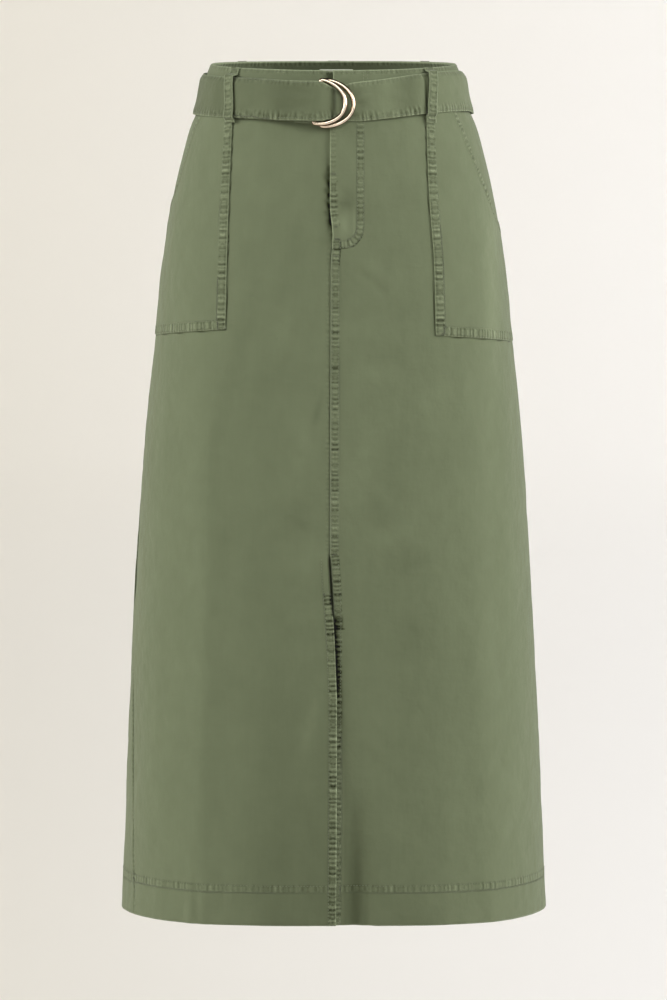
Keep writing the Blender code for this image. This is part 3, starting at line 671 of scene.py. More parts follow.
def waistband_stand(angle, drop):
    """How far the waistband's outer face stands off the form, with a slight unevenness and a few
    folds by its overlap."""
    x = form_x(angle, drop)
    folds = np.where(np.cos(angle) > 0.0, crease_height(x, drop, WAISTBAND_CREASES), 0.0)
    round_it = girth(angle, drop)
    return (WAISTBAND_PROUD + folds + 0.00018 * soft_noise(round_it, 1.5 * drop, 0.012, 31)
            + 0.00010 * soft_noise(round_it, drop, 0.006, 32))


def underlap_stand(angle, drop):
    """The same for the waistband's left piece, which steps in under the right one."""
    x = form_x(angle, 0.5 * WAISTBAND_DEPTH)
    return waistband_stand(angle, drop) - UNDERLAP_SINK * ease(x, *UNDERLAP_STEP)


# ---------------------------------------------------------------- lines on a surface


def shift_line(angle, drop, offset):
    """Moves a line sideways on the form: to the right of a line that goes down, and upwards for a
    line that goes right."""
    hop = hop_length(angle, drop)
    across, down = np.gradient(angle) * hop, np.gradient(drop)
    length = np.hypot(across, down)
    return angle + offset * down / length / hop, drop - offset * across / length


def dense(angle, drop, spacing=0.0015):
    """Cuts a line given by angles and drops into short even steps."""
    along = path_lengths(form_point(angle, drop))
    fine = np.linspace(0.0, along[-1], max(int(along[-1] / spacing), 3) + 1)
    return np.interp(fine, along, angle), np.interp(fine, along, drop)


def on_face(stand_of, line, offset=0.0):
    """A line of angles and drops on a layer's outer face, moved sideways by its offset: its points
    and the face's outward directions."""
    angle, drop = dense(*line)
    if offset:
        angle, drop = shift_line(angle, drop, offset)
    return layer(angle, drop, stand_of(angle, drop)), form_normal(angle, drop)


def trimmed(line, first, last):
    """A line given by angles and drops, cut shorter at both ends by distances in metres."""
    spacing = 0.0005
    angle, drop = dense(*line, spacing=spacing)
    kept = slice(round(first / spacing), len(angle) - round(last / spacing))
    return angle[kept], drop[kept]


def edge_line(side, start, end, step=0.004):
    """Angles and drops down a front panel's centre edge."""
    drop = np.arange(start, end, step)
    return front_angle(centre_edge(side, drop), drop), drop


def side_angle(side, drop):
    """The angle of a side seam."""
    return straight_table(SIDE_SEAMS, 1 if side < 0 else 2, drop)


def side_line(side):
    """Angles and drops down a side seam."""
    drop = np.linspace(PANEL_TOP, HEM_DROP, 60)
    return side_angle(side, drop), drop


def fly_line():
    """Angles and drops down the fly's curved stitching."""
    t = np.linspace(0.0, 1.0, 60)
    rows = np.column_stack([np.linspace(0.0, 1.0, len(FLY_LINE)), FLY_LINE])
    drop, x = smooth_table(rows, 1, t), smooth_table(rows, 2, t)
    return front_angle(x, drop), drop


def pocket_edges(side):
    """The pocket's inner edge downwards, its bottom edge outwards and its hand opening downwards, as
    pairs of angles and drops."""
    table = np.array(POCKET_ROWS[side])
    inner = side * front_angle(table[:, 1], table[:, 0])
    last = POCKET_OPENING_ROWS[side] + 1
    bottom = (np.linspace(inner[-1], side * table[-1, 2], 20),
              np.linspace(table[-1, 0], table[-1, 3], 20))
    return (inner, table[:, 0]), bottom, (side * table[:last, 2], table[:last, 3])


NO_SEAMS = {"bands": [], "rows": [], "creases": []}


def sewn(stand_of, bands, rows, creases=()):
    """The seams of a piece on its outer face. A band is a line, its offset, how strongly it puckers,
    half its width and how far the puckers fade beyond it. A row of stitches is a line and its
    offset, and so is a crease, where another layer's edge lies."""
    return {"bands": [(on_face(stand_of, line, offset), *pull) for line, offset, *pull in bands],
            "rows": [on_face(stand_of, line, offset) for line, offset in rows],
            "creases": [on_face(stand_of, line, offset) for line, offset in creases]}


def front_seams(side):
    """A front panel's seams: its hem, its side seam, the lapped centre seam and the slit's edge, and
    on the right panel the fly and the short level lines."""
    hem = ((front_angle(centre_edge(side, HEM_STITCH), HEM_STITCH), side_angle(side, HEM_STITCH)),
           (HEM_STITCH, HEM_STITCH))
    inner, bottom, _ = pocket_edges(side)
    closed = edge_line(side, 0.173, SLIT_TOP - 0.0005)
    slit = edge_line(side, SLIT_TOP + 0.003, HEM_DROP)
    creases = [(inner, -side * 0.0008), (bottom, -side * 0.0008)]
    bands = [(hem, -side * 0.0030, 0.55, 0.0020, 0.0035), (side_line(side), 0.0, 0.5, 0.0010, 0.0035)]
    rows = [(hem, 0.0)]
    if side > 0:
        fly = fly_line()
        foot = fly[1] > 0.1640
        creases.append(((fly[0][foot], fly[1][foot]), 0.0004))
        bands += [(closed, 0.0048, 1.0, 0.0026, 0.0022),
                  (slit, 0.0050, 1.1, 0.0028, 0.0020),
                  (fly, -0.0031, 0.9, 0.0026, 0.0016),
                  (edge_line(1, 0.110, 0.158), 0.0036, 1.0, 0.0018, 0.0036),
                  (edge_line(1, 0.046, 0.104), 0.0030, 0.5, 0.0010, 0.0030)]
        rows += [(closed, 0.0019), (closed, 0.0080), (fly, 0.0), (fly, -0.0062), (slit, 0.0076)]
        for level, *ends in LEVEL_LINES:
            inside = centre_edge(1, level) + np.array(ends)
            creases.append(((front_angle(inside, level), np.full(2, level)), 0.0))
        creases.append((edge_line(1, FLY_END, 0.196, 0.002), 0.0084))
    else:
        low = edge_line(-1, 0.520, HEM_DROP)
        tuck = centre_edge(-1, FACING_FOOT) - np.array([0.0072, 0.0])
        creases.append(((front_angle(tuck, FACING_FOOT), np.full(2, FACING_FOOT)), 0.0))
        bands += [(closed, 0.0, 0.3, 0.0015, 0.0040), (low, -0.0038, 1.2, 0.0030, 0.0020)]
        rows.append((slit, -0.0078))
    return sewn(partial(front_stand, side), bands, rows, creases)


def back_seams():
    """The back's seams: its hem and the two side seams."""
    full_turn = 2.0 * math.pi
    hem = (np.linspace(side_angle(1, HEM_STITCH), side_angle(-1, HEM_STITCH) + full_turn, 200),
           np.full(200, HEM_STITCH))
    left, left_drop = side_line(-1)
    bands = [(hem, -0.0030, 0.55, 0.0020, 0.0035), (side_line(1), 0.0, 0.5, 0.0010, 0.0035),
             ((left + full_turn, left_drop), 0.0, 0.5, 0.0010, 0.0035)]
    return sewn(back_stand, bands, [(hem, 0.0)])


def pocket_seams(side):
    """A pocket's seams: a band along each edge, with two rows of stitches that stop where they meet
    the next band's."""
    inner, bottom, opening = pocket_edges(side)
    bands = [(trimmed(inner, 0.0, 0.004), side * 0.0046, 1.0, 0.0036, 0.0022),
             (trimmed(bottom, 0.004, 0.0), side * 0.0046, 0.8, 0.0034, 0.0020),
             (opening, -side * 0.0039, 0.9, 0.0024, 0.0018)]
    rows = []
    for inset in (0.0016, POCKET_BAND):
        rows.append((trimmed(inner, 0.0, inset), side * inset))
    for inset in (0.0016, POCKET_BAND):
        rows.append((trimmed(bottom, inset, 0.0), side * inset))
    rows += [(opening, -side * 0.0016), (opening, -side * 0.0062)]
    return sewn(pocket_stand, bands, rows)


def waistband_seams(start, end, stand_of):
    """The seams of a stretch of the waistband: a row near its top and one near its foot."""
    angle = np.linspace(start, end, 120)
    lines = [(angle, np.full(120, drop)) for drop in (0.0021, WAISTBAND_DEPTH - 0.0021)]
    return sewn(stand_of, [(line, 0.0, 0.45, 0.0010, 0.0030) for line in lines],
                [(line, 0.0) for line in lines])


# ---------------------------------------------------------------- painted shade and light


def lower_shade(x, drop):
    """Painted shade that deepens evenly from below the hip to the hem, most of all left of the slit."""
    left = (1.0 - ease(x, 0.002, 0.026)) * ease(x, -0.110, -0.055)
    right = band(x, 0.014, 0.110, 0.012)
    return -0.50 * (left + 0.52 * right) * np.maximum(drop - 0.42, 0.0) / 0.42


def spot(x, drop, at_x, at_drop, half_width, half_height):
    """A soft oval spot: 1 in its middle and about a third at its half width and half height."""
    return np.exp(-(((x - at_x) / half_width) ** 2) - ((drop - at_drop) / half_height) ** 2)


def stripe(x, at_x, half_width):
    """A soft upright stripe: 1 along its middle and about a third at its half width."""
    return np.exp(-(((x - at_x) / half_width) ** 2))


# ---------------------------------------------------------------- meshes


# A distance past which seams and edges don't show, how far round a seam its points are looked for,
# and how many of them are measured at a time
FAR = 0.05
SEAM_REACH = 0.02
POINTS_AT_ONCE = 8000


def nearest_on(points, line):
    """For each point: its distance from a line, and how far along the line it lies. The distance is
    square to the line at its nearest sample, and past the line's ends to the end itself."""
    tangent = np.gradient(line, axis=0)
    step = np.linalg.norm(tangent, axis=1)
    tangent = tangent / step[:, None]
    along = np.cumsum(step)
    square = (points**2).sum(1)[:, None] - 2.0 * points @ line.T + (line**2).sum(1)[None, :]
    at = square.argmin(1)
    gap = points - line[at]
    forward = (gap * tangent[at]).sum(1)
    inside = (at > 0) & (at < len(line) - 1)
    across = (gap**2).sum(1) - np.where(inside, forward, 0.0) ** 2
    return np.sqrt(np.maximum(across, 0.0)), along[at] + forward


def seam_fields(points, seams):
    """For each point: its distance from the nearest row of stitches and from the nearest edge of
    another layer, and its pucker strength and place in the sewn band that puckers it most."""
    shape, flat = points.shape[:-1], points.reshape(-1, 3)
    fields = {key: np.zeros(len(flat)) for key in ("pucker", "along", "across")}
    fields.update({key: np.full(len(flat), FAR) for key in ("row", "crease")})
    jobs = [("band", *each) for each in seams["bands"]]
    jobs += [("row", line, 0.0, 0.0, 0.0) for line in seams["rows"]]
    jobs += [("crease", line, 0.0, 0.0, 0.0) for line in seams["creases"]]
    for number, (kind, (line, _), strength, half, fade) in enumerate(jobs):
        close = ((flat > line.min(0) - SEAM_REACH) & (flat < line.max(0) + SEAM_REACH)).all(1)
        mine = np.flatnonzero(close)
        for some in np.array_split(mine, 1 + len(mine) // POINTS_AT_ONCE):
            across, along = nearest_on(flat[some], line)
            if kind != "band":
                fields[kind][some] = np.minimum(fields[kind][some], across)
                continue
            pull = strength * (1.0 - ease(across, half, half + fade))
            wins = pull > fields["pucker"][some]
            for key, value in (("pucker", pull), ("along", along + 0.37 * number),
                               ("across", across)):
                fields[key][some] = np.where(wins, value, fields[key][some])
    return {key: value.reshape(shape) for key, value in fields.items()}


def fine_drops(start, end, count, levels):
    """Even drops, with close rows added at some levels."""
    near = np.array(levels)[:, None] + np.linspace(-0.0012, 0.0012, 5)
    return np.unique(np.concatenate([np.linspace(start, end, count), near.ravel()]))


def edge_distance(points, sides):
    """Distance of each grid point from the nearest of the named sides of its grid, measured along
    the rows and down the columns."""
    across = np.linalg.norm(np.diff(points, axis=1), axis=-1).cumsum(1)
    across = np.pad(across, ((0, 0), (1, 0)))
    down = np.linalg.norm(np.diff(points, axis=0), axis=-1).cumsum(0)
    down = np.pad(down, ((1, 0), (0, 0)))
    distance = np.full(points.shape[:2], FAR)
    for name, value in (("left", across), ("right", across[:, -1:] - across),
                        ("top", down), ("bottom", down[-1:] - down)):
        if name in sides:
            distance = np.minimum(distance, value)
    return distance


def grid_mesh(name, points, uv, fields):
    """A mesh of quads on a grid of points, rows down and columns to the right, with a UV map in
    metres and one value a point for each field."""
    rows, columns = points.shape[:2]
    index = np.arange(rows * columns).reshape(rows, columns)
    corners = (index[:-1, :-1], index[1:, :-1], index[1:, 1:], index[:-1, 1:])
    mesh = bpy.data.meshes.new(name)
    mesh.from_pydata(points.reshape(-1, 3), [], np.stack(corners, axis=-1).reshape(-1, 4))
    loops = np.empty(len(mesh.loops), np.int32)
    mesh.loops.foreach_get("vertex_index", loops)
    layer_uv = mesh.uv_layers.new(name="cloth")
    layer_uv.data.foreach_set("uv", uv.reshape(-1, 2)[loops].astype(np.float32).ravel())
    for key, values in fields.items():
        attribute = mesh.attributes.new(key, "FLOAT", "POINT")
        attribute.data.foreach_set("value", np.asarray(values, np.float32).ravel())
    mesh.shade_smooth()
    return mesh


def linked(name, data):
    """An object in the scene."""
    obj = bpy.data.objects.new(name, data)
    bpy.context.scene.collection.objects.link(obj)
    return obj


def place(name, data, material, node=None):
    """Makes an object of a piece, which rides on the root body and may stand for a CAD node."""
    obj = linked(name, data)
    data.materials.append(material)
    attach(obj, "root")
    if node:
        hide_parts(node)
    return obj


def cloth(node, points, uv, wall, material, seams, sides, shade=None, inwards=True):
    """A cloth piece that stands for a CAD node: its grid, the fields of its seams and edges, and its
    thickness."""
    fields = seam_fields(points, seams)
    fields["edge"] = edge_distance(points, sides)
    # The shade field carries the piece's painted shade and painted light into its colour
    fields["shade"] = np.zeros(points.shape[:2]) if shade is None else shade
    obj = place(node + "_cloth", grid_mesh(node + "_cloth", points, uv, fields), material, node)
    solidify = obj.modifiers.new("wall", "SOLIDIFY")
    solidify.thickness = wall
    solidify.offset = -1.0 if inwards else 0.0
    solidify.use_even_offset = True
    solidify.use_quality_normals = True


def tube(points, radius, sides):
    """A closed tube round a closed flat path: a circle at each point, in the plane of the path's own
    outward direction and the path plane's normal."""
    centre = points.mean(0)
    tangent = unit(np.roll(points, -1, 0) - np.roll(points, 1, 0))
    plane = unit(np.cross(points[0] - centre, points[len(points) // 4] - centre))
    outward = np.cross(tangent, plane)
    turn = np.linspace(0.0, 2.0 * math.pi, sides, endpoint=False)[None, :, None]
    rings = points[:, None, :] + radius * (
        np.cos(turn) * outward[:, None, :] + np.sin(turn) * plane[None, None, :])
    count = len(points)
    index = np.arange(count * sides).reshape(count, sides)
    after, beside = np.roll(index, -1, 0), np.roll(index, -1, 1)
    corners = (index, after, np.roll(after, -1, 1), beside)
    return rings.reshape(-1, 3), np.stack(corners, axis=-1).reshape(-1, 4)


def stitches(lines, length, width):
    """Stitches along lines: each is a small spindle from one end to the other, with two rings of six
    points between two tips, half sunk in the cloth."""
    starts, ends, ups = [], [], []
    for line, normal in lines:
        along = path_lengths(line)
        count = max(int(round(along[-1] / length)), 1)
        pitch = along[-1] / count
        at = np.arange(count) * pitch
        for found, values, share in ((starts, line, 0.10), (ends, line, 0.90), (ups, normal, 0.5)):
            where = at + share * pitch
            found.append(np.stack([np.interp(where, along, column) for column in values.T], axis=-1))
    start, end, up = (np.concatenate(x) for x in (starts, ends, ups))
    axis = end - start
    side = unit(np.cross(axis, up))
    up = unit(np.cross(side, axis))
    turn = np.arange(6) * math.pi / 3.0
    share = np.concatenate([[0.0], np.full(6, 0.2), np.full(6, 0.8), [1.0]])
    out = np.concatenate([[0.0], np.tile(np.cos(turn), 2), [0.0]]) * 0.5 * width
    rise = np.concatenate([[0.0], np.tile(np.sin(turn), 2), [0.0]]) * 0.5 * width
    rise += np.concatenate([[-0.2], np.full(12, 0.12), [-0.2]]) * width
    vertices = (start[:, None] + axis[:, None] * share[:, None] + side[:, None] * out[:, None]
                + up[:, None] * rise[:, None])
    k = np.arange(6)
    after = (k + 1) % 6
    triangles = np.concatenate([
        np.stack([np.zeros(6, int), after + 1, k + 1], axis=-1),
        np.stack([k + 1, after + 1, after + 7], axis=-1),
        np.stack([k + 1, after + 7, k + 7], axis=-1),
        np.stack([k + 7, after + 7, np.full(6, 13)], axis=-1),
    ])
    first = np.arange(len(start)) * len(share)
    faces = (first[:, None, None] + triangles[None]).reshape(-1, 3)
    return vertices.reshape(-1, 3), faces


def plain_mesh(name, vertices, faces):
    """A smooth mesh of these vertices and faces."""
    mesh = bpy.data.meshes.new(name)
    mesh.from_pydata(vertices, [], faces)
    mesh.shade_smooth()
    return mesh


# ---------------------------------------------------------------- materials


# The distance between the bands of a wave texture whose scale is 1
WAVE_PITCH = 0.31416


class Finish:
    """A material's nodes, added one at a time."""

    def __init__(self, name):
        self.material = bpy.data.materials.new(name)
        self.material.use_nodes = True
        self.tree = self.material.node_tree
        self.shader = self.tree.nodes["Principled BSDF"]

    def add(self, kind, output=0, inputs=(), **settings):
        """Adds a node and returns one of its outputs. Inputs are pairs of a name or number and a
        value or another node's output."""
        node = self.tree.nodes.new("ShaderNode" + kind)
        for key, value in settings.items():
            setattr(node, key, value)
        self.fill(node, inputs)
        return node.outputs[output]

    def fill(self, node, inputs):
        """Sets or links a node's inputs."""
        for key, value in inputs:
            if isinstance(value, bpy.types.NodeSocket):
                self.tree.links.new(value, node.inputs[key])
            else:
                node.inputs[key].default_value = value

    def math(self, operation, *values):
        """A sum, product or other function of one to three values."""
        return self.add("Math", inputs=list(enumerate(values)), operation=operation)

    def times(self, value, factor):
        """The product of two values."""
        return self.math("MULTIPLY", value, factor)

    def total(self, *values):
        """The sum of several values."""
        result = values[0]
        for value in values[1:]:
            result = self.math("ADD", result, value)
        return result

    def scaled(self, value, factor):
        """How far a random value or a wave is from its middle, 0.5, times a factor."""
        return self.times(self.math("SUBTRACT", value, 0.5), factor)

    def grid(self, vector, across, down, turn=0.0):
        """A surface's coordinates in cells of a given width and height, turned by an angle."""
        return self.add("Mapping", inputs=[
            ("Vector", vector), ("Rotation", (0.0, 0.0, turn)),
            ("Scale", (1.0 / across, 1.0 / down, 1.0 / across))])

    def noise(self, vector, detail=2.0, roughness=0.5, scale=1.0):
        """A soft random value, about 0.5."""
        return self.add("TexNoise", inputs=[
            ("Vector", vector), ("Scale", scale), ("Detail", detail), ("Roughness", roughness)])

    def wave(self, vector, pitch, distortion, direction, inputs=()):
        """Soft bands across a direction, a pitch apart."""
        return self.add("TexWave", output=1, inputs=[
            ("Vector", vector), ("Scale", WAVE_PITCH / pitch), ("Distortion", distortion), *inputs],
            wave_type="BANDS", bands_direction=direction)

    def combined(self, x, y=0.0, z=0.0):
        """A vector of three values."""
        return self.add("CombineXYZ", inputs=[(0, x), (1, y), (2, z)])

    def between(self, value, start, end, low=0.0, high=1.0):
        """A value carried from one range to another, held at both ends."""
        return self.add("MapRange", inputs=[
            (0, value), (1, start), (2, end), (3, low), (4, high)], interpolation_type="SMOOTHSTEP")

    def field(self, name):
        """One of the mesh's own values."""
        return self.add("Attribute", output=2, attribute_name=name, attribute_type="GEOMETRY")

    def mix(self, factor, first, second):
        """A colour between two others."""
        return self.add("Mix", output=2, inputs=[(0, factor), (6, first), (7, second)],
                        data_type="RGBA")

    def bump(self, height):
        """Turns heights in metres into the shader's normal."""
        normal = self.add("Bump", inputs=[("Height", height), ("Distance", 1.0), ("Strength", 1.0)])
        self.fill(self.shader, [("Normal", normal)])


def rgba(colour, factor=1.0):
    """A colour with full opacity, made lighter or darker."""
    return tuple(min(c * factor, 1.0) for c in colour) + (1.0,)


def twill_finish():
    """Washed cotton twill. Height: diagonal wales, uneven yarns, a soft crumple, puckers that cross
    each sewn band, a groove at each row of stitches and rounded edges. Colour: a soft mottle that
    partly follows the crumple; the puckers' crests lighter and their troughs darker, partly wash wear
    and partly painted shade; edges lighter, partly wash wear and partly a painted highlight; painted
    shade in the stitches' grooves; a painted shadow along another layer's edge; and the painted shade
    and light of the mesh's shade field."""
    look = bpy.context.scene.skirt_cloth
    made = Finish("washed_twill")
    surface = made.add("UVMap", uv_map="cloth")
    wales = made.wave(made.grid(surface, 1.0, 1.0, math.radians(58.0)), look.weave_pitch, 1.2, "X",
                      [("Detail", 1.0), ("Detail Scale", 1.5)])
    warp = made.noise(made.grid(surface, 0.0007, 0.011), detail=2.0)
    weft = made.noise(made.grid(surface, 0.013, 0.0008), detail=2.0)
    slub = made.noise(made.grid(surface, 0.0032, 0.045), detail=1.0)
    mottle = made.noise(made.grid(surface, 0.030, 0.040), detail=3.0, roughness=0.6)
    clouds = made.noise(made.grid(surface, 0.110, 0.170), detail=2.0)
    crumple = made.noise(made.grid(surface, 0.014, 0.019), detail=3.0, roughness=0.45)
    drag = made.noise(made.grid(surface, 0.030, 0.010, math.radians(-38.0)), detail=2.0)
    along, pucker = made.field("along"), made.field("pucker")
    row, crease, edge = made.field("row"), made.field("crease"), made.field("edge")
    uneven = made.noise(made.combined(made.times(along, 70.0)), detail=1.0)
    loud = made.noise(made.combined(made.times(along, 45.0), 7.0), detail=1.0)
    tugs = made.noise(made.combined(made.times(along, 300.0),
                                    made.times(made.field("across"), 190.0)), detail=2.0)
    phase = made.total(made.times(along, 2.0 * math.pi / look.pucker_length),
                       made.times(uneven, 11.0),
                       made.times(made.field("across"), 120.0))
    waves = made.times(made.math("SINE", phase), made.between(loud, 0.3, 0.7, 0.10, 0.95))
    rungs = made.times(made.total(waves, made.scaled(tugs, 4.2)), pucker)
    # Painted shade in the stitches' grooves, a painted shadow along other layers' edges, and rims
    # lighter, partly wash wear and partly a painted highlight
    groove = made.between(row, 0.0002, 0.0011, 1.0, 0.0)
    shadow = made.between(crease, 0.0003, 0.0013, 1.0, 0.0)
    rim = made.between(edge, 0.0004, 0.0018, 1.0, 0.0)
    made.bump(made.total(
        made.scaled(wales, look.weave_depth),
        made.scaled(warp, 0.7 * look.weave_depth),
        made.scaled(weft, 0.5 * look.weave_depth),
        made.scaled(crumple, look.crumple_depth),
        made.scaled(drag, 0.4 * look.crumple_depth),
        made.times(rungs, look.pucker_depth),
        made.times(groove, -0.00008),
        made.times(shadow, -0.00030),
        made.times(rim, -0.00012),
    ))
    # The colour holds painted shade and painted light as well as the cloth's own mottle and wash wear
    light = made.total(
        0.5,
        made.field("shade"),
        made.scaled(mottle, 0.30),
        made.scaled(clouds, 0.25),
        made.scaled(crumple, 0.20),
        made.scaled(slub, 0.10),
        made.scaled(warp, 0.14),
        made.scaled(weft, 0.08),
        made.scaled(wales, 0.10),
        made.times(rungs, 0.92),
        made.times(groove, -0.38),
        made.times(shadow, -1.20),
        made.times(rim, 1.25),
    )
    colour = made.mix(light, rgba(look.shadow_colour), rgba(look.worn_and_highlight_colour))
    colour.node.clamp_factor = False
    made.fill(made.shader, [
        ("Base Color", colour),
        ("Roughness", made.between(warp, 0.25, 0.75, 0.80, 0.95)),
        ("Specular IOR Level", 0.22),
        ("Sheen Weight", look.sheen),
        ("Sheen Roughness", 0.45),
        ("Sheen Tint", (0.86, 0.90, 0.78, 1.0)),
    ])
    return made.material


def thread_finish():
    """Sewing thread: two plies twisted together, with slight changes of tone along it."""
    look = bpy.context.scene.skirt_cloth
    made = Finish("sewing_thread")
    place_at = made.add("TexCoord", output=3)
    twist = made.wave(made.grid(place_at, 1.0, 1.0, math.radians(35.0)), 0.00045, 0.6, "DIAGONAL")
    tone = made.noise(made.grid(place_at, 0.009, 0.009), detail=2.0)
    made.bump(made.scaled(twist, 0.00005))
    light = made.total(0.5, made.scaled(tone, 0.9), made.scaled(twist, 0.35))
    colour = made.mix(light, rgba(look.thread_colour, 0.80), rgba(look.thread_colour, 1.22))
    made.fill(made.shader, [
        ("Base Color", colour),
        ("Roughness", made.between(tone, 0.3, 0.7, 0.55, 0.72)),
        ("Specular IOR Level", 0.35),
        ("Sheen Weight", 0.15),
    ])
    return made.material


def metal_finish(name, colour, roughness, dark_reflection_colour=None, brushed=False):
    """Plated metal: fine scratches that follow the piece and a worn tone. It may take a painted dark
    reflection where its face turns away."""
    made = Finish(name)
    place_at = made.add("TexCoord", output=3)
    cells = (0.0004, 0.006) if brushed else (0.0011, 0.0016)
    scratches = made.noise(made.grid(place_at, *cells, math.radians(21.0)), detail=3.0,
                           roughness=0.6)
    marks = made.noise(made.grid(place_at, 0.006, 0.007), detail=3.0)
    made.bump(made.scaled(scratches, 0.00002 if brushed else 0.000003))
    tone = made.total(0.5, made.scaled(marks, 0.7), made.scaled(scratches, 0.25))
    shade = made.mix(tone, rgba(colour, 0.92), rgba(colour, 1.06))
    # A painted dark reflection on the faces that turn away from the view
    if dark_reflection_colour is not None:
        turned = made.add("LayerWeight", output=1, inputs=[("Blend", 0.42)])
        shade = made.mix(made.between(turned, 0.08, 0.36), shade, rgba(dark_reflection_colour))
    made.fill(made.shader, [
        ("Base Color", shade),
        ("Metallic", 1.0),
        ("Roughness", made.total(roughness, made.scaled(marks, 0.08), made.scaled(scratches, 0.06))),
    ])
    return made.material


def ribbon_finish(name, colour, pitch, gloss):
    """Woven ribbon or zip tape: fine ribs across, with a soft tone along it."""
    made = Finish(name)
    surface = made.add("UVMap", uv_map="cloth")
    ribs = made.wave(surface, pitch, 0.4, "Y")
    yarns = made.wave(surface, 0.7 * pitch, 0.4, "X")
    tone = made.noise(made.grid(surface, 0.012, 0.009), detail=3.0)
    rim = made.between(made.field("edge"), 0.0, 0.0016, 1.0, 0.0)
    made.bump(made.total(made.scaled(ribs, 0.00005), made.scaled(yarns, 0.00004),
                         made.scaled(tone, 0.0004), made.times(rim, -0.0002)))
    light = made.total(0.5, made.scaled(tone, 0.8), made.scaled(ribs, 0.25),
                       made.scaled(yarns, 0.2), made.times(rim, 0.25))
    made.fill(made.shader, [
        ("Base Color", made.mix(light, rgba(colour, 0.84), rgba(colour, 1.16))),
        ("Roughness", made.between(tone, 0.3, 0.7, gloss, gloss + 0.14)),
        ("Specular IOR Level", 0.35),
        ("Sheen Weight", 0.15),
    ])
    return made.material


def twill():
    """The skirt's cloth, made once for all the pieces that are cut from it."""
    return bpy.data.materials.get("washed_twill") or twill_finish()


# ---------------------------------------------------------------- settings


class SKIRT_PG_cloth(bpy.types.PropertyGroup):
    """The cloth's colours and textures."""

    # The lighter end of the colour: ridges and edges that the wash has lightened, and painted
    # highlights
    worn_and_highlight_colour: FloatVectorProperty(
        name="Worn colour", description="Colour of ridges and edges that the wash has lightened",
        subtype="COLOR", size=3, min=0.0, max=1.0, default=(0.137, 0.163, 0.095))
    # The darker end of the colour: the cloth where it kept its dye, and painted shade
    shadow_colour: FloatVectorProperty(
        name="Deep colour", description="Colour of the cloth where it kept its dye",
        subtype="COLOR", size=3, min=0.0, max=1.0, default=(0.085, 0.102, 0.056))
    thread_colour: FloatVectorProperty(
        name="Thread colour", description="Colour of the stitching",
        subtype="COLOR", size=3, min=0.0, max=1.0, default=(0.112, 0.132, 0.077))
    sheen: FloatProperty(
        name="Sheen", description="How strongly the fine fuzz catches light at glancing angles",
        min=0.0, max=1.0, default=0.17)
    weave_pitch: FloatProperty(
        name="Weave pitch", description="Distance from one diagonal wale to the next",
        subtype="DISTANCE", unit="LENGTH", min=0.0002, max=0.01, precision=5, default=0.00085)
    weave_depth: FloatProperty(
        name="Weave depth", description="Height of the wales and yarns",
        subtype="DISTANCE", unit="LENGTH", min=0.0, max=0.001, precision=6, default=0.00005)
    crumple_depth: FloatProperty(
        name="Crumple depth", description="Height of the small soft wrinkles all over",
        subtype="DISTANCE", unit="LENGTH", min=0.0, max=0.01, precision=5, default=0.0013)
    pucker_length: FloatProperty(
        name="Pucker length", description="Distance from one pucker to the next along a seam",
        subtype="DISTANCE", unit="LENGTH", min=0.001, max=0.05, precision=4, default=0.0050)
    pucker_depth: FloatProperty(
        name="Pucker depth", description="Height of the puckers at a seam",
        subtype="DISTANCE", unit="LENGTH", min=0.0, max=0.005, precision=5, default=0.00056)
    stitch_length: FloatProperty(
        name="Stitch length", description="Distance from one stitch to the next",
        subtype="DISTANCE", unit="LENGTH", min=0.001, max=0.01, precision=4, default=0.0030)
    thread_width: FloatProperty(
        name="Thread width", description="Thickness of the sewing thread",
        subtype="DISTANCE", unit="LENGTH", min=0.0001, max=0.002, precision=5, default=0.0005)


class SKIRT_PG_metal(bpy.types.PropertyGroup):
    """The metal parts' colours and polish."""

    ring_colour: FloatVectorProperty(
        name="Ring colour", description="Colour of the rings' pale gold plating",
        subtype="COLOR", size=3, min=0.0, max=1.0, default=(0.71, 0.60, 0.47))
    # A painted dark reflection, laid where the wire turns away from the view
    ring_dark_reflection_colour: FloatVectorProperty(
        name="Ring edge colour", description="Deeper colour of the plating where it turns away",
        subtype="COLOR", size=3, min=0.0, max=1.0, default=(0.20, 0.10, 0.06))
    ring_roughness: FloatProperty(
        name="Ring roughness", description="0 is a mirror and 1 is matte",
        subtype="FACTOR", min=0.0, max=1.0, default=0.24)
    hook_colour: FloatVectorProperty(
        name="Hook colour", description="Colour of the plain nickel of the hook and zip",
        subtype="COLOR", size=3, min=0.0, max=1.0, default=(0.56, 0.55, 0.53))
    hook_roughness: FloatProperty(
        name="Hook roughness", description="0 is a mirror and 1 is matte",
        subtype="FACTOR", min=0.0, max=1.0, default=0.32)


